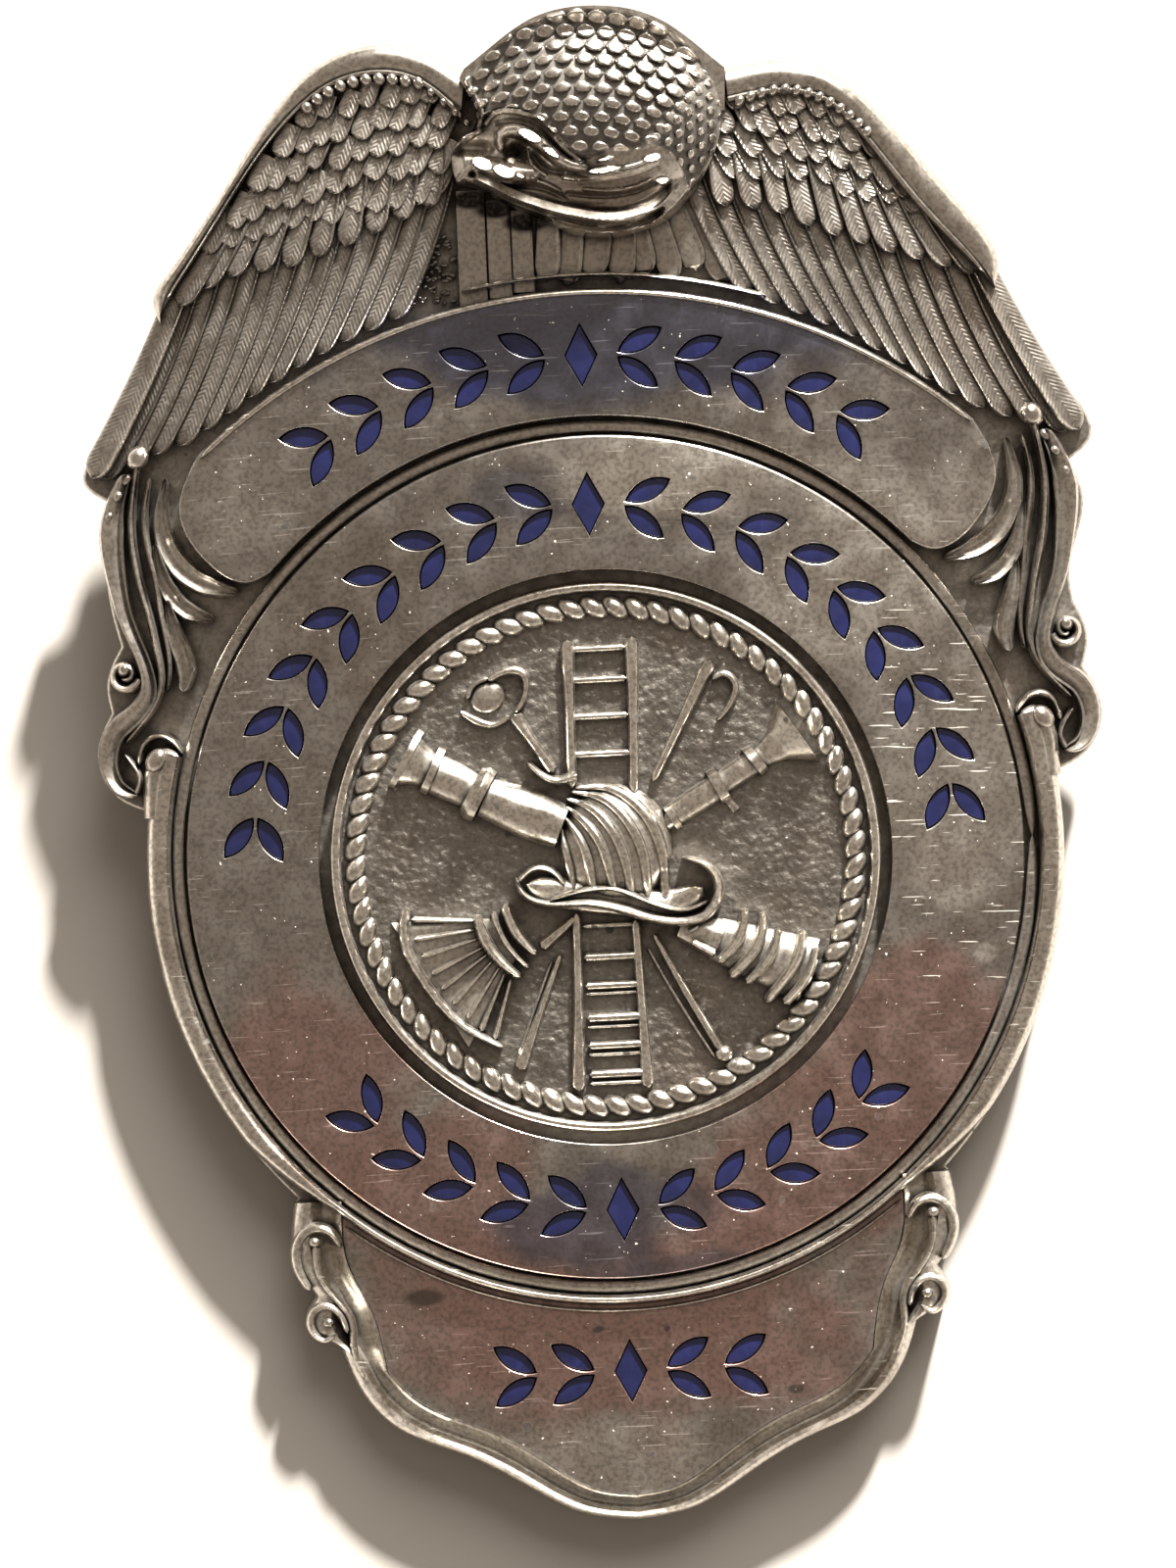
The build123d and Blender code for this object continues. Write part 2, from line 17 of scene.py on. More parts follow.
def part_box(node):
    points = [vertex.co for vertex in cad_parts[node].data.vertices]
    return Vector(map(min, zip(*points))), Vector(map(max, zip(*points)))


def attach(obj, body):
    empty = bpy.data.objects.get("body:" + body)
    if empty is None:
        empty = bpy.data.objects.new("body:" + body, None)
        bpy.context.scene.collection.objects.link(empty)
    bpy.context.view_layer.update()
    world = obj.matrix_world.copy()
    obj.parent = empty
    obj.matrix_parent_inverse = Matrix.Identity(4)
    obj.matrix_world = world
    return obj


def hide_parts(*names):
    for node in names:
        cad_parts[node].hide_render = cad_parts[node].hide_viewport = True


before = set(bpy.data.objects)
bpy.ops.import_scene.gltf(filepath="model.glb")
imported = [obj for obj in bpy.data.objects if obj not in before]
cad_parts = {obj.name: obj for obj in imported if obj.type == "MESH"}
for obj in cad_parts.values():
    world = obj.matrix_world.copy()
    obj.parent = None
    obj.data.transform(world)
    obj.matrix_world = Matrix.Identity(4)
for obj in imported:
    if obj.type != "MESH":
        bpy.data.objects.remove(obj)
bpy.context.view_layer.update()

# %% [markdown]
# ## The flat drawing and the pose of rest
# A die sinker draws a badge flat. We do the same, in millimetres, with the ring's middle as the
# zero point, X to the right, Y up the badge and height towards the viewer. Each point is then
# carried to its real place in three moves: it is bent round the plate's arch, tipped back until
# the badge lies on its base tip and its clasp, and shifted onto the surface.
# %% Carry flat points to the badge's real place
MM = 0.001
arch_radius = 85.0
plate_thickness = 1.3
base_tip_y = -29.95
clasp_foot_edge_y = 9.7
clasp_bottom = -7.0
seal_radius = 12.7
seal_bottom = -0.7
seal_rim_top = 0.6

rest_tilt = atan2(-plate_thickness - clasp_bottom, clasp_foot_edge_y - base_tip_y)
seal_low, seal_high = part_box("centre_seal")
clasp_low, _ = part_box("pin_clasp")
rest_shift = np.array([
    (seal_low.x + seal_high.x) / 2 / MM,
    seal_low.y / MM + seal_radius * cos(rest_tilt) + seal_rim_top * sin(rest_tilt),
    clasp_low.z / MM - clasp_foot_edge_y * sin(rest_tilt) - clasp_bottom * cos(rest_tilt),
])


def seated(points, arched=True):
    """Points of the flat drawing (x, y, height in mm) as places on the resting badge, in metres."""
    x, y, height = np.asarray(points, float).T
    z = np.sqrt((arch_radius + height) ** 2 - x**2) - arch_radius if arched else height
    leaned_y = y * cos(rest_tilt) - z * sin(rest_tilt)
    leaned_z = y * sin(rest_tilt) + z * cos(rest_tilt)
    return (np.stack([x, leaned_y, leaned_z], axis=1) + rest_shift) * MM


print("tilt", round(degrees(rest_tilt), 3), "shift", rest_shift.round(3))

# %% [markdown]
# ## Drawing lines that flow
# A struck outline has few deciding points with fair curves between them. A natural cubic spline
# goes through every point and bends as a thin batten would, so short lists are enough. It is
# worked out in a few lines with numpy, which keeps the outlines easy to change.
# %% Curves of the drawing
def curve_through(points, step=0.3):
    """A smooth line through points, as places about one step apart."""
    knots = np.array(points, float)
    gaps = np.hypot(*np.diff(knots, axis=0).T)
    reach = np.concatenate([[0.0], np.cumsum(gaps)])
    count = len(knots)
    system = np.eye(count)
    pull = np.zeros_like(knots)
    for i in range(1, count - 1):
        system[i, i - 1:i + 2] = gaps[i - 1], 2 * (gaps[i - 1] + gaps[i]), gaps[i]
        pull[i] = 6 * ((knots[i + 1] - knots[i]) / gaps[i] - (knots[i] - knots[i - 1]) / gaps[i - 1])
    bend = np.linalg.solve(system, pull)
    places = np.linspace(0, reach[-1], max(3, int(round(reach[-1] / step)) + 1))
    span = np.clip(np.searchsorted(reach, places, side="right") - 1, 0, count - 2)
    size = gaps[span][:, None]
    after = (places - reach[span])[:, None] / size
    before = 1 - after
    swing = (before**3 - before) * bend[span] + (after**3 - after) * bend[span + 1]
    return before * knots[span] + after * knots[span + 1] + swing * size**2 / 6


def even_steps(line, count):
    """The same line with a given number of evenly spaced places."""
    reach = np.concatenate([[0.0], np.cumsum(np.hypot(*np.diff(line, axis=0).T))])
    places = np.linspace(0, reach[-1], count)
    return np.stack([np.interp(places, reach, line[:, axis]) for axis in (0, 1)], axis=1)


def on_circle(radius, angles, centre=(0.0, 0.0)):
    """Places round a centre, with angles in degrees and one radius or a radius for each."""
    angles = np.radians(angles)
    return np.stack([centre[0] + radius * np.cos(angles), centre[1] + radius * np.sin(angles)], axis=1)


def arc_line(radius, start_angle, end_angle, centre=(0.0, 0.0), step=0.3):
    """Part of a circle, with angles in degrees."""
    count = max(3, int(abs(radians(end_angle - start_angle)) * radius / step) + 1)
    return on_circle(radius, np.linspace(start_angle, end_angle, count), centre)


def mirrored(points):
    """The same line on the other side of the badge, in the opposite order."""
    return np.array(points, float)[::-1] * (-1, 1)


doubled_within = 0.02


def joined_lines(*lines):
    """Lines that meet end to end, as one closed loop with no doubled places."""
    loop = np.concatenate([np.array(line, float) for line in lines])
    keep = np.hypot(*(loop - np.roll(loop, 1, axis=0)).T) > doubled_within
    return loop[keep]


def set_at(loop, x, y, turn):
    """A loop turned by an angle in degrees and moved to a place."""
    turn = radians(turn)
    return loop @ np.array([[cos(turn), sin(turn)], [-sin(turn), cos(turn)]]) + (x, y)


def spread(values, count):
    """A short list of values stretched evenly over a number of places."""
    return np.interp(np.linspace(0, 1, count), np.linspace(0, 1, len(values)), values)


print("a test curve has", len(curve_through([(0, 0), (4, 3), (9, 1)])), "places")

# %% [markdown]
# ## Three ways to raise metal
# Almost everything on the badge is one of three forms. A *skin* spans two lines with a domed or
# ridged section, which suits feathers, leaves, rims and tools. A *bead* is a low rounded bump. A
# *panel* is a flat face with rolled edges and holes: its walls are rings of faces round each loop
# and Blender's Delaunay triangulation fills the flat. Each is a closed mesh whose foot is sunk in
# the plate, so no edge is left open. Every point also remembers how far across and along its form
# it lies, for the fine lines later on. A third number stays zero here; the eagle's head uses it.
# %% Skins and ribbons
def joined_rings(rows, columns):
    """Point numbers of stacked rings, and the four-sided faces from each ring to the next."""
    index = np.arange(rows * columns).reshape(rows, columns)
    turned = np.roll(index, -1, axis=1)
    quads = np.stack([index[:-1], turned[:-1], turned[1:], index[1:]], axis=2)
    return index, quads.reshape(-1, 4).tolist()


def skin(left, right, heights, low, across=None):
    """Closed mesh between two lines; heights has a row for each step along and a column across."""
    steps, columns = heights.shape
    across = np.linspace(0, 1, columns) if across is None else np.array(across, float)
    share = across[None, :, None]
    places = left[:, None, :] * (1 - share) + right[:, None, :] * share
    top = np.concatenate([places, heights[:, :, None]], axis=2)
    low_edge = np.full((steps, 1), float(low))
    right_foot = np.concatenate([right, low_edge], axis=1)[:, None, :]
    left_foot = np.concatenate([left, low_edge], axis=1)[:, None, :]
    ring = np.concatenate([top, right_foot, left_foot], axis=1)
    around = columns + 2
    middle = (left + right) / 2
    travelled = np.concatenate([[0.0], np.cumsum(np.hypot(*np.diff(middle, axis=0).T))])
    width = np.hypot(*(right - left).T)
    flow = np.zeros((steps, around, 3))
    flow[:, :columns, 0] = (across[None, :] - 0.5) * width[:, None]
    flow[:, :, 1] = travelled[:, None]
    index, quads = joined_rings(steps, around)
    ends = [index[0].tolist(), index[-1][::-1].tolist()]
    return ring.reshape(-1, 3), quads + ends, flow.reshape(-1, 3)


def ribbon(line, half_width, section, edge, crown, low, across=None):
    """Skin along a middle line; edge is its height at the sides and crown what the section adds."""
    half_width, edge, crown = [
        np.broadcast_to(np.asarray(value, float), len(line)) for value in (half_width, edge, crown)
    ]
    heading = np.gradient(line, axis=0)
    heading /= np.hypot(*heading.T)[:, None]
    side = np.stack([-heading[:, 1], heading[:, 0]], axis=1) * half_width[:, None]
    heights = edge[:, None] + crown[:, None] * np.asarray(section, float)[None, :]
    return skin(line + side, line - side, heights, low, across)


end_bluntness = 0.003


def rounded_ends(count, start_share, end_share):
    """Widths between 0 and 1 that round off one or both ends of a ribbon."""
    t = np.linspace(0, 1, count)
    width = np.ones(count)
    for share, from_end in ((start_share, t), (end_share, 1 - t)):
        if share > 0:
            inside = np.clip(1 - from_end / share, 0, 1)
            width *= np.sqrt(np.maximum(1 - inside**2, end_bluntness))
    return width


half_turn = np.linspace(0, pi, 9)
round_across = (1 - np.cos(half_turn)) / 2
round_section = np.sin(half_turn)
print("a round section has", len(round_section), "columns")

# %% Beads
def bead(x, y, length, width, height, base, turn=0.0, rings=3, sides=10):
    """Low rounded bump with an oval foot, turned by an angle in degrees."""
    angles = np.linspace(0, tau, sides, endpoint=False)
    rise = np.linspace(0, pi / 2, rings + 1)[:-1]
    oval = np.stack([np.cos(angles) * length / 2, np.sin(angles) * width / 2], axis=1)
    oval = set_at(oval, 0, 0, turn)
    layers = [
        np.column_stack([oval * cos(a) + (x, y), np.full(sides, base + height * sin(a))]) for a in rise
    ]
    points = np.concatenate(layers + [[[x, y, base + height]]])
    index, quads = joined_rings(rings, sides)
    tip = rings * sides
    cap = [[a, b, tip] for a, b in zip(index[-1], np.roll(index[-1], -1))]
    flow = np.zeros_like(points)
    flow[:, :2] = points[:, :2] - (x, y)
    return points, quads + cap + [index[0][::-1].tolist()], flow


print("a bead has", len(bead(0, 0, 1, 1, 1, 0)[0]), "points")

# %% Panels with rolled edges and holes
slice_width = 1.0
merge_distance = 0.0005
sharpest_mitre = 0.35


def wound(loop, counter_clockwise):
    """The loop in the asked direction."""
    after = np.roll(loop, -1, axis=0)
    area = np.sum(loop[:, 0] * after[:, 1] - after[:, 0] * loop[:, 1])
    return loop if (area > 0) == counter_clockwise else loop[::-1]


def pushed_left(loop, distance):
    """A closed loop moved to its left side by a distance, with mitred corners."""
    step = np.roll(loop, -1, axis=0) - loop
    step /= np.hypot(*step.T)[:, None]
    normal = np.stack([-step[:, 1], step[:, 0]], axis=1)
    both = np.roll(normal, 1, axis=0), normal
    opening = np.maximum(1 + np.sum(both[0] * both[1], axis=1), sharpest_mitre)
    return loop + distance * (both[0] + both[1]) / opening[:, None]


def inside_odd(points, loops):
    """Which points lie inside an odd number of the loops."""
    inside = np.zeros(len(points), bool)
    x, y = points[:, :1], points[:, 1:]
    for loop in loops:
        start, end = loop, np.roll(loop, -1, axis=0)
        crosses = (start[:, 1] > y) != (end[:, 1] > y)
        rise = np.where(crosses, end[:, 1] - start[:, 1], 1.0)
        cut = start[:, 0] + (y - start[:, 1]) * (end[:, 0] - start[:, 0]) / rise
        inside ^= np.sum(crosses & (x < cut), axis=1) % 2 == 1
    return inside


def filled(loops):
    """Triangles between loops: inside the first and outside the others."""
    flat = np.concatenate(loops)
    edges, start = [], 0
    for loop in loops:
        edges += [(start + i, start + (i + 1) % len(loop)) for i in range(len(loop))]
        start += len(loop)
    places, _, faces, *_ = delaunay_2d_cdt([Vector(place) for place in flat], edges, [], 0, 1e-6)
    places = np.array([tuple(place) for place in places])
    faces = np.array(faces)
    return places, faces[inside_odd(places[faces].mean(axis=1), loops)]


def panel(outline, holes, low, high, bevel, hole_bevel=None, low_bevel=0.0):
    """Flat-topped mesh inside an outline, open at its holes, cut in narrow strips so it can bend."""
    solid = bmesh.new()
    loops = [wound(outline, True), *[wound(hole, False) for hole in holes]]
    tops, bottoms = [], []
    angles = np.linspace(0, pi / 2, 5)
    for number, loop in enumerate(loops):
        rolled = hole_bevel if number and hole_bevel is not None else bevel
        profile = [(rolled * (1 - cos(a)), high - rolled * (1 - sin(a))) for a in angles]
        if low_bevel:
            profile = [(low_bevel * (1 - sin(a)), low + low_bevel * (1 - cos(a))) for a in angles] + profile
        else:
            profile = [(0.0, low)] + profile
        rows = [pushed_left(loop, push) for push, _ in profile]
        rings = [
            [solid.verts.new((x, y, height)) for x, y in row] for row, (_, height) in zip(rows, profile)
        ]
        for below, above in zip(rings[:-1], rings[1:]):
            for i in range(len(loop)):
                j = (i + 1) % len(loop)
                solid.faces.new((below[i], below[j], above[j], above[i]))
        tops.append(rows[-1])
        bottoms.append(rows[0])
    for level, flats in ((high, tops), (low, bottoms)):
        places, faces = filled(flats)
        corners = [solid.verts.new((x, y, level)) for x, y in places]
        for face in faces:
            solid.faces.new([corners[index] for index in face])
    bmesh.ops.remove_doubles(solid, verts=solid.verts, dist=merge_distance)
    xs = [vertex.co.x for vertex in solid.verts]
    for cut in np.arange(min(xs) + slice_width, max(xs), slice_width):
        everything = solid.verts[:] + solid.edges[:] + solid.faces[:]
        bmesh.ops.bisect_plane(
            solid, geom=everything, plane_co=(cut, 0, 0), plane_no=(1, 0, 0), dist=merge_distance,
        )
    solid.verts.index_update()
    points = np.array([vertex.co for vertex in solid.verts])
    faces = [[vertex.index for vertex in face.verts] for face in solid.faces]
    solid.free()
    return points, faces, points * (1, 1, 0)


test_plate = panel(arc_line(3, 0, 350), [arc_line(1, 0, 340)], 0, 1, 0.1)
print("a plate with one hole:", len(test_plate[1]), "faces")

# %% Turn shapes into a piece of the badge
def make_piece(name, shapes, material, arched=True, crease=35.0):
    """One object from several closed shapes, carried to its place and tied to the badge."""
    points, faces, flows, start = [], [], [], 0
    for shape_points, shape_faces, shape_flow in shapes:
        points.append(shape_points)
        flows.append(shape_flow)
        faces.extend([[index + start for index in face] for face in shape_faces])
        start += len(shape_points)
    mesh = bpy.data.meshes.new(name)
    mesh.from_pydata(seated(np.concatenate(points), arched).tolist(), [], faces)
    for label, values in (("flow", flows), ("drawing", points)):
        attribute = mesh.attributes.new(label, "FLOAT_VECTOR", "POINT")
        attribute.data.foreach_set("vector", np.concatenate(values).astype(np.float32).ravel())
    solid = bmesh.new()
    solid.from_mesh(mesh)
    bmesh.ops.recalc_face_normals(solid, faces=solid.faces)
    solid.to_mesh(mesh)
    solid.free()
    mesh.shade_smooth()
    mesh.set_sharp_from_angle(angle=radians(crease))
    mesh.materials.append(material)
    piece = bpy.data.objects.new(name, mesh)
    bpy.context.scene.collection.objects.link(piece)
    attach(piece, "root")
    print(name, "-", len(mesh.polygons), "faces")
    return piece


# %% [markdown]
# ## The badge's outlines
# These are the deciding points of the silhouette, read off the badge: the two wings (the left
# shoulder stands higher than the right), the eagle's crown, the side scrolls and the base.
# %% Outline points in millimetres
rim_inner_radius, rim_outer_radius = 19.75, 20.9
left_wing_top = [
    (-4.6, 35.6), (-7.0, 36.9), (-9.0, 37.1), (-11.0, 36.5), (-13.0, 34.8), (-16.0, 30.7), (-18.6, 27.3),
]
left_wing_step = [(-18.6, 27.3), (-19.3, 26.3), (-18.95, 25.0)]
left_wing_side = [(-18.95, 25.0), (-21.0, 21.5), (-22.4, 19.6)]
left_wing_tip = [(-22.4, 19.6), (-23.0, 18.3), (-21.4, 17.0)]
right_wing_top = [(7.1, 35.2), (9.3, 35.55), (11.5, 35.1), (13.2, 33.9), (16.0, 30.7), (18.6, 27.5)]
right_wing_step = [(18.6, 27.5), (19.15, 26.3), (18.95, 24.9)]
right_wing_side = [(18.95, 24.9), (21.2, 21.2), (22.7, 19.6)]
right_wing_tip = [(22.7, 19.6), (23.15, 18.2), (22.0, 17.0)]
crown_line = [(-4.6, 35.6), (-3.5, 36.4), (-1.4, 37.7), (1.0, 38.1), (4.0, 37.5), (6.0, 36.15), (7.1, 35.2)]
left_scroll_side = [(-21.4, 17.0), (-22.1, 14.0), (-21.6, 10.6)]
left_scroll_curl = [(-21.6, 10.6), (-22.35, 8.9), (-22.2, 7.6)]
left_scroll_foot = [(-22.2, 7.6), (-22.95, 5.8), (-22.2, 3.8), (-20.4, 2.9)]
right_scroll_side = [(22.0, 17.0), (22.6, 15.4), (21.8, 11.9), (21.9, 10.6)]
right_scroll_curl = [(21.9, 10.6), (22.5, 8.9), (22.2, 7.6)]
right_scroll_foot = [(22.2, 7.6), (23.0, 5.5), (22.2, 3.7), (20.4, 2.8)]
base_scroll = [(14.6, -13.8), (15.1, -16.4), (14.9, -18.0), (14.1, -19.2)]
base_curl = [(14.1, -19.2), (14.65, -20.3), (13.1, -21.5)]
base_foot = [
    (13.1, -21.5), (12.3, -23.6), (10.7, -25.4), (8.0, -26.6), (5.0, -28.2), (2.6, -29.5), (0.0, base_tip_y),
]


def beyond_rim(points):
    """The stretch of a line that lies outside the round rim."""
    line = curve_through(points)
    return line[np.hypot(*line.T) > rim_outer_radius]


def bearing(place):
    """Angle of a place round the ring's middle, in degrees."""
    return degrees(atan2(place[1], place[0]))


right_foot_line = beyond_rim(right_scroll_foot)
left_foot_line = beyond_rim(left_scroll_foot)
base_scroll_line = beyond_rim(base_scroll)
right_rim_line = arc_line(rim_outer_radius, bearing(right_foot_line[-1]), bearing(base_scroll_line[0]))
left_rim_line = arc_line(
    rim_outer_radius, bearing(base_scroll_line[0] * (-1, 1)) + 360, bearing(left_foot_line[-1])
)
base_line = np.concatenate([base_scroll_line, curve_through(base_curl), curve_through(base_foot)])
down_the_right = [
    crown_line, right_wing_top, right_wing_step, right_wing_side, right_wing_tip, right_scroll_side,
    right_scroll_curl,
]
up_the_left = [
    left_scroll_curl, left_scroll_side, left_wing_tip, left_wing_side, left_wing_step, left_wing_top,
]
silhouette = joined_lines(
    *[curve_through(points) for points in down_the_right], right_foot_line, right_rim_line,
    base_line, mirrored(base_line), left_rim_line, left_foot_line[::-1],
    *[curve_through(points)[::-1] for points in up_the_left],
)
print("silhouette", silhouette.min(axis=0).round(2), silhouette.max(axis=0).round(2))

# %% [markdown]
# ## Finishes as reusable shader groups
# The badge shows one metal in many states: bright where cloth has rubbed it, dark where wax and
# tarnish sit, scratched on the flats. Each state is an effect of its own, so each is a shader
# node group with named sockets, built once and placed in every material that needs it. A group
# gives out only masks and heights; the Principled shader itself stays in each material.
# %% Helpers that build node trees
def node(tree, kind, **settings):
    """A new node with some of its settings or input values set."""
    made = tree.nodes.new(kind)
    for name, value in settings.items():
        setattr(made, name, value)
    return made


def link(tree, source, target):
    """Join two sockets."""
    tree.links.new(source, target)


def math_node(tree, operation, first, second=None, clamp=False):
    """A math node; each input is a socket or a number."""
    made = node(tree, "ShaderNodeMath", operation=operation, use_clamp=clamp)
    for socket, value in zip(made.inputs, (first, second)):
        if value is None:
            continue
        if isinstance(value, (int, float)):
            socket.default_value = value
        else:
            link(tree, value, socket)
    return made.outputs[0]


def remap(tree, value, low, high, to_low=0.0, to_high=1.0):
    """A value stretched from one range to another, smoothly and clamped."""
    made = node(tree, "ShaderNodeMapRange", interpolation_type="SMOOTHSTEP")
    link(tree, value, made.inputs["Value"])
    for name, end in (("From Min", low), ("From Max", high), ("To Min", to_low), ("To Max", to_high)):
        if isinstance(end, (int, float)):
            made.inputs[name].default_value = end
        else:
            link(tree, end, made.inputs[name])
    return made.outputs["Result"]


def mix_colour(tree, share, first, second, blend="MIX"):
    """Two colours mixed by a share; each is a socket or a colour."""
    made = node(tree, "ShaderNodeMix", data_type="RGBA", blend_type=blend)
    for socket, value in zip((made.inputs[0], made.inputs[6], made.inputs[7]), (share, first, second)):
        if isinstance(value, bpy.types.NodeSocket):
            link(tree, value, socket)
        else:
            socket.default_value = value if isinstance(value, (int, float)) else (*value, 1.0)
    return made.outputs[2]


def new_group(name, inputs, outputs):
    """An empty shader node group with named float sockets; returns it and its two ends."""
    group = bpy.data.node_groups.new(name, "ShaderNodeTree")
    for label, default in inputs.items():
        socket = group.interface.new_socket(name=label, in_out="INPUT", socket_type="NodeSocketFloat")
        socket.default_value = default
    for label in outputs:
        group.interface.new_socket(name=label, in_out="OUTPUT", socket_type="NodeSocketFloat")
    return group, node(group, "NodeGroupInput"), node(group, "NodeGroupOutput")


def stored_parts(tree, label):
    """The three numbers of a stored vector.

    "flow" is across and along a form in mm and, on the head, 1 where the ground between the small
    feathers lies bare. "drawing" is the flat place on the badge and the height over its field.
    """
    stored = node(tree, "ShaderNodeAttribute", attribute_name=label)
    parts = node(tree, "ShaderNodeSeparateXYZ")
    link(tree, stored.outputs["Vector"], parts.inputs[0])
    return parts.outputs


def object_noise(tree, scale, detail=3.0, stretch=None, turn=0.0):
    """Noise in the badge's own space; scale is in patches per metre."""
    place = node(tree, "ShaderNodeTexCoord").outputs["Object"]
    if stretch is not None:
        mapping = node(tree, "ShaderNodeMapping")
        mapping.inputs["Rotation"].default_value = (0, 0, radians(turn))
        mapping.inputs["Scale"].default_value = stretch
        link(tree, place, mapping.inputs["Vector"])
        place = mapping.outputs["Vector"]
    noise = node(tree, "ShaderNodeTexNoise")
    noise.inputs["Scale"].default_value = scale
    noise.inputs["Detail"].default_value = detail
    link(tree, place, noise.inputs["Vector"])
    return noise.outputs["Fac"]


print("node helpers ready")

# %% [markdown]
# ### Dark patina in the recesses
# Makers darken a whole badge and wipe it, so the dark stays where a cloth can't reach. Ambient
# occlusion measures just that: how much of the sky a point sees within a short reach. A little
# noise breaks its edge up, because a wipe is never even.
# %% Group: recess patina
def build_recess_patina():
    group, start, end = new_group("recess_patina", {"Reach": 0.0007, "Strength": 1.6}, ["Mask"])
    shade = node(group, "ShaderNodeAmbientOcclusion", samples=4)
    link(group, start.outputs["Reach"], shade.inputs["Distance"])
    hidden = math_node(group, "SUBTRACT", 1.0, shade.outputs["AO"])
    rough_edge = remap(group, object_noise(group, 1400, detail=1.0), 0.25, 0.75, 0.75, 1.2)
    strong = math_node(group, "MULTIPLY", hidden, start.outputs["Strength"])
    mask = math_node(group, "MULTIPLY", strong, rough_edge, clamp=True)
    link(group, mask, end.inputs["Mask"])
    return group


recess_patina = build_recess_patina()
print("built", recess_patina.name)

# %% [markdown]
# ### Scratches and bumps of handling
# Thin scratches are noise stretched about twentyfold along one direction and cut off near its
# peaks. Three sets at different angles cross each other, as years of pinning on and off leave them.
# The input "Here" lets a material keep them to one area.
# %% Group: handling scratches
def build_handling_scratches():
    group, start, end = new_group("handling_scratches", {"Amount": 1.0, "Here": 1.0}, ["Mask", "Height"])
    sets = []
    for turn, cut in ((4, 0.70), (-24, 0.735), (63, 0.745)):
        streaks = object_noise(group, 1.0, detail=1.0, stretch=(420, 9000, 420), turn=turn)
        sets.append(remap(group, streaks, cut, cut + 0.035))
    lines = math_node(group, "MAXIMUM", math_node(group, "MAXIMUM", sets[0], sets[1]), sets[2])
    wanted = math_node(group, "MULTIPLY", start.outputs["Amount"], start.outputs["Here"])
    mask = math_node(group, "MULTIPLY", lines, wanted, clamp=True)
    link(group, mask, end.inputs["Mask"])
    link(group, math_node(group, "MULTIPLY", mask, -1.0), end.inputs["Height"])
    return group


handling_scratches = build_handling_scratches()
print("built", handling_scratches.name)

# %% [markdown]
# ### Clouds of tarnish, pits and dust
# Tarnish spreads in soft clouds a few millimetres wide, with pits and dust much smaller. All come
# from noise at three scales, the finer two cut sharply so that only single spots are left.
# %% Group: tarnish clouds
def build_tarnish():
    group, start, end = new_group("tarnish", {"Cover": 0.5, "Dust": 0.5}, ["Clouds", "Pits", "Dust"])
    broad = object_noise(group, 190, detail=4.0)
    cut = math_node(group, "SUBTRACT", 0.78, math_node(group, "MULTIPLY", start.outputs["Cover"], 0.5))
    below, above = math_node(group, "SUBTRACT", cut, 0.14), math_node(group, "ADD", cut, 0.14)
    clouds = remap(group, broad, below, above)
    pits = remap(group, object_noise(group, 900, detail=1.0), 0.735, 0.78)
    rare = math_node(group, "SUBTRACT", 0.84, math_node(group, "MULTIPLY", start.outputs["Dust"], 0.1))
    dust = remap(group, object_noise(group, 4600, detail=1.0), rare, math_node(group, "ADD", rare, 0.03))
    link(group, clouds, end.inputs["Clouds"])
    link(group, pits, end.inputs["Pits"])
    link(group, dust, end.inputs["Dust"])
    return group


tarnish = build_tarnish()
print("built", tarnish.name)

# %% [markdown]
# ### Stains and painted light with a place of their own
# Some stains sit where a thumb or a damp cloth left them. Other patches paint light: highlights on
# the flats, reflections of the room mixed into the rose and blue tarnish, and the shadow under the
# eagle's jaw. A patch is an oval on the badge's flat drawing whose edge wavers with a noise that the
# material works out once for all its patches. The drawing's places are stored in each mesh, so a
# patch keeps its place wherever the badge lies.
# %% Group: one placed patch, for stains and painted light
def build_stain_and_painted_light_patch():
    sizes = {"Centre X": 0.0, "Centre Y": 0.0, "Half width": 4.0, "Half height": 3.0}
    group, start, end = new_group("stain_and_painted_light_patch", {**sizes, "Ragged": 0.5, "Waver": 0.5}, ["Mask"])
    x, y, _ = stored_parts(group, "drawing")
    distances = []
    for place, centre, half in ((x, "Centre X", "Half width"), (y, "Centre Y", "Half height")):
        from_centre = math_node(group, "SUBTRACT", place, start.outputs[centre])
        share = math_node(group, "DIVIDE", from_centre, start.outputs[half])
        distances.append(math_node(group, "MULTIPLY", share, share))
    oval = math_node(group, "SQRT", math_node(group, "ADD", *distances))
    waver = math_node(group, "SUBTRACT", start.outputs["Waver"], 0.5)
    waver = math_node(group, "MULTIPLY", waver, start.outputs["Ragged"])
    link(group, remap(group, math_node(group, "ADD", oval, waver), 1.15, 0.65), end.inputs["Mask"])
    return group


stain_and_painted_light_patch = build_stain_and_painted_light_patch()
print("built", stain_and_painted_light_patch.name)

# %% [markdown]
# ### Stippled ground and feather barbs
# A die sinker dots the ground with a small punch and cuts the barbs of a feather as slanting
# lines that meet at its shaft. The dots are Voronoi cells; the barbs follow the across and along
# distances that every skin carries, so they turn with each feather.
# %% Groups: punched ground and feather barbs
def build_punched_ground():
    group, start, end = new_group("punched_ground", {"Dots per metre": 2600.0}, ["Height"])
    place = node(group, "ShaderNodeTexCoord").outputs["Object"]
    cells = node(group, "ShaderNodeTexVoronoi", feature="SMOOTH_F1")
    link(group, place, cells.inputs["Vector"])
    link(group, start.outputs["Dots per metre"], cells.inputs["Scale"])
    dots = remap(group, cells.outputs["Distance"], 0.1, 0.75, 1.0, 0.0)
    grain = object_noise(group, 5200, detail=2.0)
    link(group, math_node(group, "ADD", dots, grain), end.inputs["Height"])
    return group


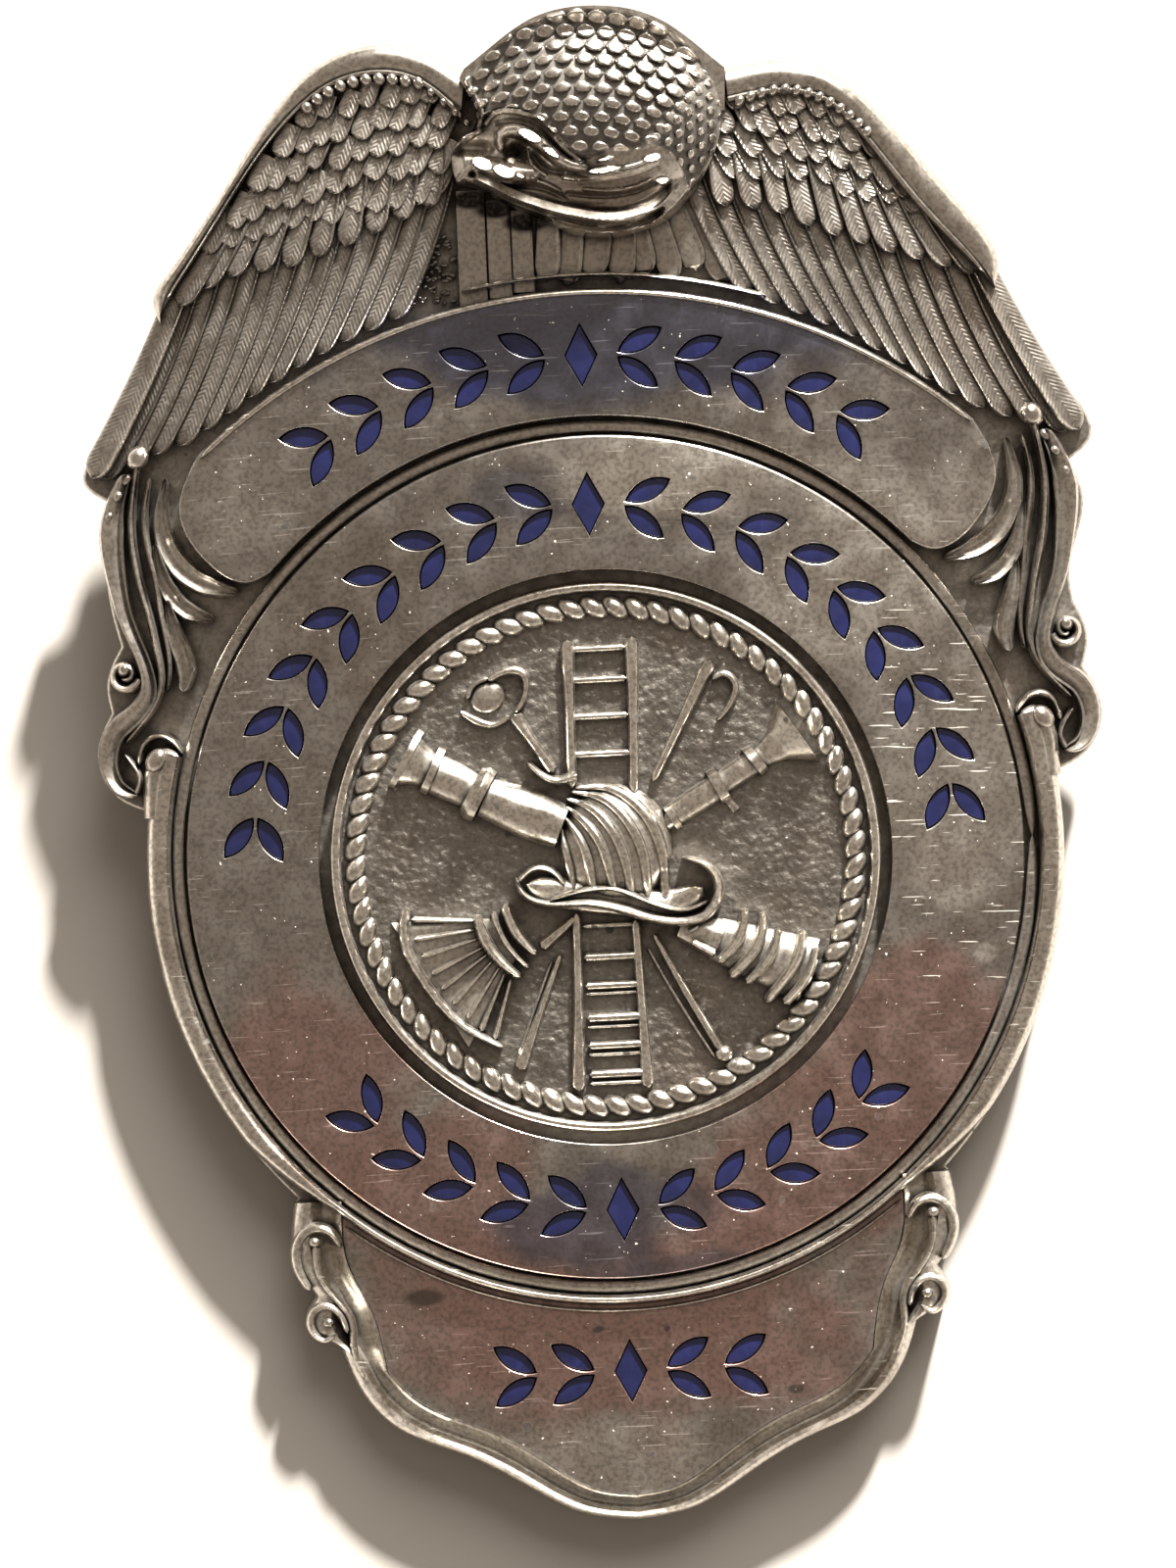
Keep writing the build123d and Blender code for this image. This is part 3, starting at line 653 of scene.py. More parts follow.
def build_feather_barbs():
    group, start, end = new_group("feather_barbs", {"Lines per mm": 4.2, "Slant": 1.1}, ["Height"])
    across, along, _ = stored_parts(group, "flow")
    lean = math_node(group, "MULTIPLY", math_node(group, "ABSOLUTE", across), start.outputs["Slant"])
    swept = math_node(group, "SUBTRACT", along, lean)
    phase = math_node(group, "MULTIPLY", swept, start.outputs["Lines per mm"])
    turns = math_node(group, "MULTIPLY", phase, tau)
    wave = math_node(group, "SINE", turns)
    uneven = remap(group, object_noise(group, 1500, detail=1.0), 0.3, 0.6, 0.25, 1.0)
    link(group, math_node(group, "MULTIPLY", wave, uneven), end.inputs["Height"])
    return group


punched_ground = build_punched_ground()
feather_barbs = build_feather_barbs()
print("built", punched_ground.name, "and", feather_barbs.name)

# %% [markdown]
# ## The metals and the enamel
# One function makes every metal from the same groups, with its own values: how bright the high
# spots are, how far the patina reaches, which fine relief it carries. Metal colour changes from
# a warm silver on the rubbed tops to a brown black in the recesses.
# %% Make the badge's metals
warm_silver = (0.62, 0.575, 0.515)
rim_silver = (0.72, 0.67, 0.60)
bright_rim = (0.84, 0.79, 0.71)
worn_grey = (0.42, 0.39, 0.35)
light_grey = (0.52, 0.485, 0.435)
emblem_silver = (0.95, 0.90, 0.81)
panel_silver = (0.50, 0.468, 0.43)
dull_silver = (0.30, 0.275, 0.24)
ground_grey = (0.34, 0.315, 0.28)
patina_dark = (0.055, 0.05, 0.045)
# painted shadow: near black for the shade that falls under the beak and the jaw
painted_shadow_black = (0.02, 0.018, 0.016)
tarnish_brown = (0.36, 0.30, 0.25)
# rose tarnish that also paints a reflection of the room on the polished flats
rose_tarnish_and_reflection = (0.55, 0.365, 0.325)
# blue-grey tarnish that also paints a dark reflection of the room on the polished flats
blue_tarnish_and_reflection = (0.19, 0.195, 0.25)
# painted highlight: a pale cream laid on the flats where the lamp and the room light them
painted_highlight = (0.90, 0.86, 0.78)
stain_dark = (0.14, 0.13, 0.115)
bright_dust = (0.80, 0.76, 0.68)
cloud_share, speckle_share, bare_ground_share, pit_share, dust_share = 0.6, 0.42, 0.8, 0.8, 0.8
smooth_depth = 0.00001
# Patches on the polished flats: the rose and blue ones are tarnish and also painted reflections of the room,
# the pale ones are painted highlights, and the small dark ones are stains.
panel_patches = [
    # centre x and y, half width and height, raggedness, colour, share
    (-13.6, -10.0, 5.0, 5.4, 1.6, rose_tarnish_and_reflection, 0.85),
    (-8.0, -14.8, 5.2, 3.6, 1.6, rose_tarnish_and_reflection, 0.85),
    (13.4, -9.0, 5.4, 4.6, 1.6, rose_tarnish_and_reflection, 0.85),
    (8.6, -14.2, 5.4, 4.0, 1.6, rose_tarnish_and_reflection, 0.85),
    (0.0, -20.8, 13.5, 5.6, 1.4, rose_tarnish_and_reflection, 0.95),
    (3.4, -18.6, 3.2, 0.8, 1.6, blue_tarnish_and_reflection, 0.6),
    (1.6, 23.4, 13.4, 3.4, 1.3, blue_tarnish_and_reflection, 1.0),
    (-1.2, -16.3, 4.6, 2.6, 1.8, blue_tarnish_and_reflection, 0.8),
    (-2.6, 16.6, 3.0, 1.5, 1.4, blue_tarnish_and_reflection, 0.6),
    (2.4, 16.8, 2.3, 1.3, 1.0, painted_highlight, 0.9),
    (3.8, 17.2, 6.0, 2.0, 1.0, painted_highlight, 0.85),
    (12.4, 12.6, 4.8, 4.8, 1.6, painted_highlight, 0.6),
    (17.0, 15.2, 3.4, 2.2, 1.2, painted_highlight, 0.4),
    (-0.8, -26.8, 5.6, 2.0, 1.4, painted_highlight, 0.42),
    (16.2, 3.4, 3.6, 6.4, 1.8, painted_highlight, 0.42),
    (15.6, -1.3, 2.0, 1.9, 0.8, painted_highlight, 0.5),
    (-15.6, 17.0, 3.0, 2.2, 1.2, painted_highlight, 0.25),
    (-11.0, 12.2, 4.0, 4.0, 1.6, tarnish_brown, 0.4),
    (16.95, -5.2, 0.62, 0.5, 0.5, painted_highlight, 0.7),
    (-9.2, -19.5, 1.0, 0.42, 0.9, stain_dark, 0.8),
    (7.4, -24.4, 0.4, 0.22, 0.6, stain_dark, 0.7),
]


def place_group(tree, group, **values):
    """A node group in a material, with its own input values; underscores stand for spaces."""
    made = node(tree, "ShaderNodeGroup", node_tree=group)
    for name, value in values.items():
        made.inputs[name.replace("_", " ")].default_value = value
    return made


def bump(tree, height, strength, distance):
    """Bump node for a height socket; distance is in metres."""
    made = node(tree, "ShaderNodeBump")
    made.inputs["Strength"].default_value = strength
    made.inputs["Distance"].default_value = distance
    link(tree, height, made.inputs["Height"])
    return made


def mixed_in(tree, colour, mask, share, other):
    """A colour with another one laid over it where a mask says so."""
    return mix_colour(tree, math_node(tree, "MULTIPLY", mask, share), colour, other)


def patch_mask(tree, waver, x, y, half_width, half_height, ragged):
    """Mask of one placed patch, used for stains and for painted light; waver is the material's shared edge
    noise.
    """
    patch = place_group(
        tree, stain_and_painted_light_patch, Centre_X=x, Centre_Y=y, Half_width=half_width, Half_height=half_height,
        Ragged=ragged,
    )
    link(tree, waver, patch.inputs["Waver"])
    return patch.outputs["Mask"]


def badge_metal(
    name, high, low, rough, patina, worn=(0.2, 1.6), cover=0.2, dust=0.3, scratches=0.0, patches=(),
    scratched=None, grain=None, grain_depth=0.00004,
):
    """Metal of one area: colours of its high and low places, roughness, patina and fine relief."""
    material = bpy.data.materials.new(name)
    material.use_nodes = True
    tree = material.node_tree
    shader = tree.nodes["Principled BSDF"]
    rubbed = remap(tree, stored_parts(tree, "drawing")[2], *worn)
    stains = place_group(tree, tarnish, Cover=cover, Dust=dust)
    colour = mix_colour(tree, rubbed, low, high)
    colour = mixed_in(tree, colour, stains.outputs["Clouds"], cloud_share, tarnish_brown)
    waver = object_noise(tree, 230, detail=4.0) if patches or scratched else None
    # each patch lays its colour: tarnish and stains, and painted highlights, reflections and shadow
    for *place, patch_tint, share in patches:
        colour = mixed_in(tree, colour, patch_mask(tree, waver, *place), share, patch_tint)
    speckles = remap(tree, object_noise(tree, 5000, detail=1.0), 0.4, 0.7)
    colour = mixed_in(tree, colour, speckles, speckle_share, stain_dark)
    recess = place_group(tree, recess_patina, Reach=patina[0], Strength=patina[1]).outputs["Mask"]
    bare_ground = math_node(tree, "MULTIPLY", stored_parts(tree, "flow")[2], bare_ground_share)
    recess = math_node(tree, "MAXIMUM", recess, bare_ground)
    pits = math_node(tree, "MULTIPLY", stains.outputs["Pits"], pit_share)
    dark = math_node(tree, "MAXIMUM", recess, pits)
    colour = mix_colour(tree, dark, colour, patina_dark)
    marks = place_group(tree, handling_scratches, Amount=scratches)
    if scratched:
        here = remap(tree, patch_mask(tree, waver, *scratched), 0, 1, 0.2, 1.0)
        link(tree, here, marks.inputs["Here"])
    light_marks = math_node(tree, "MAXIMUM", stains.outputs["Dust"], marks.outputs["Mask"])
    open_metal = math_node(tree, "SUBTRACT", 1.0, recess)
    light_marks = math_node(tree, "MULTIPLY", light_marks, open_metal, clamp=True)
    colour = mixed_in(tree, colour, light_marks, dust_share, bright_dust)
    uneven = remap(tree, object_noise(tree, 700, detail=2.0), 0.3, 0.7, rough - 0.05, rough + 0.07)
    roughness = math_node(tree, "ADD", uneven, math_node(tree, "MULTIPLY", dark, 0.3), clamp=True)
    not_metal = math_node(tree, "MAXIMUM", math_node(tree, "MULTIPLY", dark, 0.35), light_marks)
    height = math_node(tree, "MULTIPLY", object_noise(tree, 2400, detail=2.0), 0.3)
    if grain is not None:
        height = math_node(tree, "ADD", height, place_group(tree, grain).outputs["Height"])
    relief = bump(tree, height, 0.5, grain_depth if grain is not None else smooth_depth)
    link(tree, colour, shader.inputs["Base Color"])
    link(tree, roughness, shader.inputs["Roughness"])
    link(tree, math_node(tree, "SUBTRACT", 1.0, not_metal, clamp=True), shader.inputs["Metallic"])
    link(tree, relief.outputs["Normal"], shader.inputs["Normal"])
    print("metal", name)
    return material


panel_metal = badge_metal(
    "polished_panel", panel_silver, dull_silver, 0.27, (0.0004, 1.3), worn=(-0.4, 0.6), cover=0.3, dust=0.85,
    scratches=0.9, patches=panel_patches, scratched=(16.5, 3.0, 5.0, 11.0, 1.0),
)
rim_metal = badge_metal(
    "rolled_rim", bright_rim, worn_grey, 0.22, (0.0004, 1.4), worn=(0.0, 1.0), cover=0.3, dust=0.4,
    scratches=0.3,
)
feather_metal = badge_metal(
    "feathered_relief", warm_silver, worn_grey, 0.37, (0.00035, 1.6), worn=(0.4, 1.4), cover=0.3,
    grain=feather_barbs, grain_depth=0.000016,
)
relief_patches = [
    # centre x and y, half width and height, raggedness, colour, share
    (1.4, 29.7, 3.0, 1.0, 0.6, tarnish_brown, 0.8),
    # these three dark ovals paint the shadow that falls under the beak and the jaw
    (-4.6, 29.9, 1.0, 0.5, 0.4, painted_shadow_black, 1.0),
    (-3.5, 29.4, 1.1, 0.5, 0.4, painted_shadow_black, 1.0),
    (-2.2, 28.75, 1.2, 0.5, 0.4, painted_shadow_black, 1.0),
]
relief_metal = badge_metal(
    "struck_relief", rim_silver, light_grey, 0.25, (0.0004, 1.3), worn=(0.1, 1.2), cover=0.2,
    patches=relief_patches,
)
emblem_metal = badge_metal(
    "emblem_silver", emblem_silver, rim_silver, 0.22, (0.0004, 1.7), worn=(0.1, 0.5), cover=0.1,
)
seal_ground = badge_metal(
    "seal_ground", ground_grey, dull_silver, 0.36, (0.0009, 1.5), worn=(-0.2, 0.3), cover=0.3, dust=0.6,
    grain=punched_ground, grain_depth=0.00009,
)
ground_metal = badge_metal(
    "punched_ground", warm_silver, ground_grey, 0.38, (0.0006, 1.2), worn=(0.0, 0.5), cover=0.2,
    grain=punched_ground,
)
side_metal = badge_metal(
    "plate_side", warm_silver, panel_silver, 0.28, (0.0005, 1.0), worn=(-1.3, 0.4), scratches=0.5,
)
clasp_metal = badge_metal(
    "clasp_steel", (0.60, 0.59, 0.57), (0.55, 0.54, 0.52), 0.33, (0.0006, 1.2), scratches=0.4,
)

# %% [markdown]
# ### Blue enamel
# Vitreous enamel is coloured glass melted into a cell: nearly black blue, glossy, with a slight
# swell of the surface. A dielectric with a thin clear coat gives that depth, and a faint noise
# stands for the bubbles and wear that dull it in places.
# %% Make the enamel
enamel_dark, enamel_light = (0.008, 0.011, 0.050), (0.013, 0.017, 0.080)


def make_enamel():
    material = bpy.data.materials.new("blue_enamel")
    material.use_nodes = True
    tree = material.node_tree
    shader = tree.nodes["Principled BSDF"]
    swirl = remap(tree, object_noise(tree, 650, detail=4.0), 0.3, 0.7)
    wear = remap(tree, object_noise(tree, 1800), 0.3, 0.7, 0.16, 0.34)
    bubbles = bump(tree, object_noise(tree, 1600), 0.25, 0.00002)
    link(tree, mix_colour(tree, swirl, enamel_dark, enamel_light), shader.inputs["Base Color"])
    link(tree, wear, shader.inputs["Roughness"])
    link(tree, bubbles.outputs["Normal"], shader.inputs["Normal"])
    shader.inputs["Coat Weight"].default_value = 0.4
    shader.inputs["Coat Roughness"].default_value = 0.12
    return material


enamel = make_enamel()
print("materials:", len(bpy.data.materials))

# %% [markdown]
# ## The plate itself
# The plate is the sheet that everything else stands on. Its front is a punched ground that shows
# only between the raised forms, and its back and walls are plain satin metal, so one mesh gets two
# materials, shared out by the way its faces look.
# %% Build the plate
front_edge_round, back_edge_round = 0.22, 0.25
front_facing = 0.8
plate_shape = panel(silhouette, [], -plate_thickness, 0.0, front_edge_round, low_bevel=back_edge_round)
plate_body = make_piece("plate_body", [plate_shape], ground_metal)
plate_body.data.materials.append(side_metal)
for face in plate_body.data.polygons:
    face.material_index = 0 if face.normal.z > front_facing else 1
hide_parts("struck_plate")

# %% [markdown]
# ## Generic sprays of leaf pairs
# Four fields of the badge hold blue enamel. Here each is a spray: pairs of pointed leaves that
# run out from a lozenge in the middle. A leaf is two arcs, so we write one leaf, and one function
# that sets leaves along any path. The same loops cut the cells and, slightly smaller, shape the
# enamel, so metal and enamel always fit.
# %% Leaf, lozenge and spray
leaf_length, leaf_width, leaf_angle = 2.3, 0.95, 33.0
leaf_spread, leaf_pitch = 0.72, 2.6
lozenge_width, lozenge_height = 1.5, 2.9
point_trim = 2.0
enamel_gap = 0.05


def leaf_loop(trim):
    """Pointed leaf along X, smaller all round by trim."""
    half_length = leaf_length / 2 - point_trim * trim
    half_width = leaf_width / 2 - trim
    radius = (half_length**2 + half_width**2) / (2 * half_width)
    reach = degrees(atan2(half_length, radius - half_width))
    upper = arc_line(radius, 90 + reach, 90 - reach, (0, half_width - radius), 0.2)
    return np.concatenate([upper[:-1], -upper[:-1]])


def lozenge_loop(trim):
    """Upright lozenge, smaller all round by trim."""
    half_width = lozenge_width / 2 - trim
    half_height = lozenge_height / 2 - point_trim * trim
    return np.array([(0, half_height), (half_width, 0), (0, -half_height), (-half_width, 0)])


def on_arc(radius, middle_angle):
    """Places along an arc round the ring's middle; distance runs clockwise."""
    def place_at(distance):
        angle = radians(middle_angle) - distance / radius
        return radius * cos(angle), radius * sin(angle), degrees(angle) - 90
    return place_at


def on_level(y):
    """Places along a level line."""
    def place_at(distance):
        return distance, y, 0.0
    return place_at


def spray(place_at, pairs, trim=0.0):
    """Loops of a lozenge and of leaf pairs that point away from it."""
    loops = [set_at(lozenge_loop(trim), *place_at(0.0))]
    for side in (-1, 1):
        for pair in range(1, pairs + 1):
            x, y, heading = place_at(side * pair * leaf_pitch)
            turn = heading if side > 0 else heading + 180
            for half in (-1, 1):
                away = radians(turn + 90)
                place = x + half * leaf_spread * cos(away), y + half * leaf_spread * sin(away)
                loops.append(set_at(leaf_loop(trim), *place, turn + half * leaf_angle))
    return loops


banner_height, ring_height, base_height = 1.2, 1.0, 0.7
enamel_fields = {
    # name: (places, leaf pairs on each side, height of the metal round them)
    "title_enamel": (on_arc(22.6, 90), 5, banner_height),
    "ring_enamel_upper": (on_arc(15.9, 90), 9, ring_height),
    "ring_enamel_lower": (on_arc(15.9, -90), 5, ring_height),
    "base_enamel": (on_level(-23.2), 2, base_height),
}
print("enamel shapes:", sum(4 * pairs + 1 for _, pairs, _ in enamel_fields.values()))

# %% [markdown]
# ### Fill the cells
# Fired enamel sits a little under the edge of its cell. Each small body is a panel of its own
# with a fine rolled edge, which catches the thin bright line that real enamel shows at its rim.
# %% Lay the enamel in its cells
enamel_drop, enamel_depth = 0.13, 0.35

for name, (place_at, pairs, height) in enamel_fields.items():
    bodies = [
        panel(loop, [], height - enamel_depth, height - enamel_drop, 0.04)
        for loop in spray(place_at, pairs, enamel_gap)
    ]
    inlay = make_piece(name + "_fill", bodies, enamel)
    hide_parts(name)

# %% [markdown]
# ## Ring, banner and base panel
# These three flats were polished after striking. Each is a panel with the cells as holes and a
# narrow rolled edge, which gives the bright outline all round.
# %% Outlines of the polished flats
ring_outer_radius, seat_radius = 19.0, 12.95
banner_top_radius, banner_top_centre = 26.8, (0.0, -1.2)
banner_foot_radius = 19.85
banner_corner_x, banner_heel_x = 17.6, 14.5
banner_end = [(18.55, 16.6), (17.4, 14.2), (15.5, 13.15)]
base_bead_radius = 20.15
base_panel_side = [(12.7, -15.0), (12.5, -18.0), (11.7, -19.7), (11.0, -22.8)]
base_panel_foot = [(11.0, -22.8), (9.8, -24.1), (6.7, -25.6), (4.0, -27.2), (1.8, -28.5), (0.0, -28.8)]


def cells_of(*names):
    """Loops of the sunk cells of some enamel fields."""
    return [loop for name in names for loop in spray(*enamel_fields[name][:2])]


def banner_loop():
    """Outline of the title banner."""
    corner_y = banner_top_centre[1] + (banner_top_radius**2 - banner_corner_x**2) ** 0.5
    heel_y = (banner_foot_radius**2 - banner_heel_x**2) ** 0.5
    lean = degrees(atan2(corner_y - banner_top_centre[1], banner_corner_x))
    top = arc_line(banner_top_radius, 180 - lean, lean, banner_top_centre)
    end = curve_through([(banner_corner_x, corner_y), *banner_end, (banner_heel_x, heel_y)])
    heel_angle = degrees(atan2(heel_y, banner_heel_x))
    foot = arc_line(banner_foot_radius, heel_angle, 180 - heel_angle)
    return joined_lines(top, end, foot, mirrored(end))


def base_panel_loop():
    """Outline of the sunk base panel, hollow at the top where the ring's bead runs."""
    corner_x = base_panel_side[0][0]
    start = degrees(atan2(-((base_bead_radius**2 - corner_x**2) ** 0.5), corner_x))
    top = arc_line(base_bead_radius, -180 - start, start)
    side = np.concatenate([curve_through(base_panel_side), curve_through(base_panel_foot)])
    side = side[np.hypot(*side.T) > base_bead_radius]
    return joined_lines(top, side, mirrored(side))


print("banner outline has", len(banner_loop()), "places")

# %% Build the polished flats
root = -0.3
cell_edge_round = 0.05
ring_line = arc_line(ring_outer_radius, 0, 359, step=0.4)
seat_line = arc_line(seat_radius, 0, 359, step=0.35)
ring_cells = cells_of("ring_enamel_upper", "ring_enamel_lower")
polished_flats = [
    # name, outline, holes, height, roundness of the outer edge
    ("ring_panel", ring_line, [seat_line, *ring_cells], ring_height, 0.13),
    ("title_banner", banner_loop(), cells_of("title_enamel"), banner_height, 0.15),
    ("base_panel", base_panel_loop(), cells_of("base_enamel"), base_height, 0.06),
]
for name, outline, holes, height, edge_round in polished_flats:
    shape = panel(outline, holes, root, height, edge_round, cell_edge_round)
    make_piece(name, [shape], panel_metal)

# %% [markdown]
# ## Rim and thin border lines
# A rolled rim runs from one side scroll, under the ring, to the other. Over the base it thins out
# to a bead. Thin raised lines edge the banner and the bead, and a low, flat one runs in the channel
# between the rim and the ring.
# %% Build the rim and the lines
rim_half, bead_half = 0.575, 0.21
rim_start, rim_end, rim_steps = 16, -196, 420
bead_reach, thinning_reach = 54, 14
rim_foot, rim_crown = 0.35, 0.95
rim_across = [0.0, 0.06, 0.14, 0.24, 0.36, 0.5, 0.64, 0.76, 0.86, 0.94, 1.0]
rim_section = [0.0, 0.48, 0.74, 0.88, 0.96, 1.0, 0.99, 0.96, 0.86, 0.62, 0.1]
line_table = [
    # radius, centre, start angle, end angle, half width, foot height, crown
    (26.62, banner_top_centre, 131, 49, 0.16, 1.05, 0.3),
    (27.45, banner_top_centre, 101, 72, 0.14, 0.45, 0.5),
    (20.45, (0.0, 0.0), -52, -128, 0.1, 0.5, 0.35),
    (19.42, (0.0, 0.0), 0, 360, 0.27, 0.42, 0.14),
]


def rim_ribbon():
    """The rim as one ribbon; its inner side keeps its radius while its width changes."""
    angles = np.linspace(rim_start, rim_end, rim_steps)
    slim = np.clip((bead_reach - np.abs(angles + 90)) / thinning_reach, 0, 1)
    half = rim_half + (bead_half - rim_half) * slim
    line = on_circle(rim_inner_radius + half, angles)
    return ribbon(line, half, rim_section, rim_foot, rim_crown, root, rim_across)


rim_shapes = [rim_ribbon()]
for radius, centre, start, end, half, foot, crown in line_table:
    line = arc_line(radius, start, end, centre)
    half = half * rounded_ends(len(line), 0.02, 0.02)
    rim_shapes.append(ribbon(line, half, round_section, foot, crown, root, round_across))
make_piece("rim_and_lines", rim_shapes, rim_metal)

# %% [markdown]
# ## Wings
# Each wing is laid as a bird's wing grows: long feathers first, then a shorter row over them,
# then rows of small coverts, and the smooth leading edge on top. A feather is a ribbon whose
# section has raised edges, a shaft and one side higher than the other, so that neighbours overlap
# like tiles and leave a crisp dark line between them.
# %% One feather
feather_step = 0.22
feather_across = [0.0, 0.03, 0.08, 0.13, 0.20, 0.35, 0.50, 0.65, 0.80, 0.90, 0.96, 1.0]
feather_section = [-0.5, 0.8, 1.0, 0.8, 0.4, 0.34, 0.38, 0.36, 0.27, 0.14, -0.1, -0.9]


def feather(root_place, tip, bow, width, base, lift, relief=0.3, flip=False):
    """A round-ended feather; bow bends it sideways, lift raises its tip over the next row."""
    root_place, tip = np.array(root_place, float), np.array(tip, float)
    spine = tip - root_place
    side = np.array([-spine[1], spine[0]])
    count = max(9, int(hypot(*spine) / feather_step))
    t = np.linspace(0, 1, count)[:, None]
    line = root_place + spine * t + side * bow * 4 * t * (1 - t)
    end_share = min(0.45, 0.75 * width / hypot(*spine))
    half = width / 2 * rounded_ends(count, 0, end_share) * np.linspace(0.82, 1, count)
    t = t[:, 0]
    height = base + lift * t - 0.25 * np.clip((t - 0.93) / 0.07, 0, 1) ** 2
    section = feather_section[::-1] if flip else feather_section
    across = [1 - place for place in feather_across[::-1]] if flip else feather_across
    return ribbon(line, half, section, height, relief, root, across)


print("one feather has", len(feather((0, 0), (3, 3), 0, 1, 0.5, 0.2)[1]), "faces")

# %% Rows of feathers
feather_rows = [
    # roots, tips, count, width, height at the root, lift to the tip, bow, flipped
    (
        [(5.2, 31.0), (9.0, 30.0), (17.6, 27.4)],
        [(7.9, 25.1), (12.2, 23.2), (14.9, 21.6), (17.7, 19.7), (19.6, 19.0), (21.9, 18.3)],
        13, 1.18, 0.42, 0.1, -0.035, True,
    ),
    (
        [(6.6, 33.0), (11.0, 32.6), (15.6, 29.8)],
        [(6.9, 29.0), (9.2, 28.7), (11.2, 27.7), (14.5, 26.6), (18.2, 25.6)],
        10, 1.15, 0.6, 0.2, -0.03, True,
    ),
    (
        [(-5.6, 31.6), (-9.0, 30.6), (-17.4, 27.2)],
        [(-8.5, 24.7), (-10.9, 23.8), (-12.9, 22.9), (-15.6, 21.4), (-18.4, 19.6), (-19.9, 19.2),
         (-22.0, 18.3)],
        13, 1.18, 0.42, 0.1, 0.035, False,
    ),
    (
        [(-6.0, 33.6), (-10.5, 33.4), (-15.4, 30.2)],
        [(-6.6, 29.6), (-10.0, 28.2), (-13.0, 27.3), (-16.4, 27.0), (-18.2, 25.9)],
        10, 1.15, 0.6, 0.2, 0.03, False,
    ),
]


def along(points, count):
    """Evenly spaced places along a chain of straight runs."""
    return even_steps(np.array(points, float), count)


feathers = []
for roots, tips, count, width, base, lift, bow, flip in feather_rows:
    for start, tip in zip(along(roots, count), along(tips, count)):
        feathers.append(feather(start, tip, bow, width, base, lift, flip=flip))
last_root, last_tip = (18.2, 26.4), (22.55, 18.35)
for side, flip in ((1, True), (-1, False)):
    start, tip = [(side * x, y) for x, y in (last_root, last_tip)]
    feathers.append(feather(start, tip, side * -0.02, 1.3, 0.6, 0.2, flip=flip))
make_piece("wing_feathers", feathers, feather_metal)

# %% [markdown]
# ### Coverts
# Near the shoulder the small feathers look like fish scales. They are set in rows along the
# wing's flow, a little smaller towards the head, and each row lies over the one before.
# %% Build the coverts
covert_rows = [
    # tips of the row, count, length, height, way that the feathers run from tip to root
    ([(7.6, 30.2), (10.2, 30.0), (13.4, 29.2), (16.6, 27.9)], 10, 2.0, 0.86, (-0.5, 0.87)),
    ([(7.4, 31.3), (10.0, 31.0), (12.9, 30.5), (15.4, 29.0)], 9, 1.8, 0.94, (-0.5, 0.87)),
    ([(7.4, 32.3), (9.8, 32.0), (12.3, 31.6), (13.9, 30.8)], 8, 1.7, 1.02, (-0.45, 0.9)),
    ([(7.6, 33.2), (9.4, 32.9), (11.3, 32.8), (12.5, 32.3)], 6, 1.4, 1.1, (-0.4, 0.92)),
    ([(-6.4, 30.0), (-9.6, 29.6), (-13.2, 28.9), (-16.8, 28.0)], 12, 2.0, 0.86, (0.5, 0.87)),
    ([(-6.3, 31.1), (-9.4, 30.8), (-12.8, 30.1), (-15.7, 29.2)], 11, 1.8, 0.94, (0.5, 0.87)),
    ([(-6.2, 32.2), (-9.2, 32.0), (-12.3, 31.4), (-14.5, 30.7)], 10, 1.7, 1.02, (0.48, 0.88)),
    ([(-6.1, 33.2), (-9.0, 33.1), (-11.6, 32.6), (-13.3, 32.1)], 9, 1.6, 1.08, (0.45, 0.9)),
    ([(-6.4, 34.1), (-8.6, 34.2), (-10.8, 33.9), (-12.1, 33.4)], 7, 1.3, 1.14, (0.4, 0.92)),
]

coverts = []
uneven = random.Random(11)
for tips, count, length, height, way in covert_rows:
    for tip in along(tips, count):
        tip = tip + (uneven.uniform(-0.16, 0.16), uneven.uniform(-0.2, 0.2))
        start = tip + length * np.array(way) * uneven.uniform(0.9, 1.1)
        width = 1.1 * uneven.uniform(0.86, 1.12)
        coverts.append(feather(start, tip, 0, width, height - 0.16, 0.17, 0.16, flip=tip[0] > 0))
make_piece("wing_coverts", coverts, feather_metal)

# %% Leading edges with their beaded inner line
left_edge_inner = [(-18.95, 25.6), (-16.5, 29.0), (-12.5, 34.0), (-10.5, 35.3), (-6.8, 35.2), (-4.9, 33.4)]
right_edge_inner = [(18.7, 25.2), (15.0, 29.3), (12.7, 32.4), (11.5, 33.5), (9.6, 33.9), (7.2, 33.6)]
edge_section = [0.1, 0.55, 0.8, 0.93, 1.0, 0.98, 0.9, 0.82, 0.95, 0.9, 0.35]
edge_across = [0.0, 0.05, 0.13, 0.25, 0.42, 0.58, 0.7, 0.78, 0.86, 0.94, 1.0]
edge_steps = 90
edge_foot, edge_crown = 0.2, 1.25


def edge_skin(top, step, inner):
    """Smooth band between a wing's silhouette and its inner edge line."""
    outer = even_steps(np.concatenate([curve_through(top), curve_through(step)[1:]]), edge_steps)
    inner = even_steps(curve_through(inner)[::-1], edge_steps)
    heights = edge_foot + edge_crown * np.tile(edge_section, (edge_steps, 1))
    return skin(outer, inner, heights, root, edge_across)


edge_shapes = [
    edge_skin(left_wing_top, left_wing_step, left_edge_inner),
    edge_skin(right_wing_top, right_wing_step, right_edge_inner),
]
bead_lines = [
    # places, count, size, height of its foot
    ([(-4.6, 33.3), (-5.7, 34.35), (-6.7, 35.2)], 5, 0.36, 1.2),
    ([(-6.7, 35.2), (-8.6, 35.5), (-10.6, 35.15), (-11.8, 34.4)], 10, 0.5, 1.3),
    ([(7.7, 33.7), (9.6, 34.15), (11.3, 33.75), (12.6, 32.9), (13.4, 32.1)], 13, 0.45, 1.28),
]
for places, count, size, foot in bead_lines:
    for x, y in even_steps(curve_through(places), count):
        edge_shapes.append(bead(x, y, size * 1.25, size, 0.28, foot, turn=degrees(atan2(y - 20, x))))
make_piece("leading_edges", edge_shapes, relief_metal)

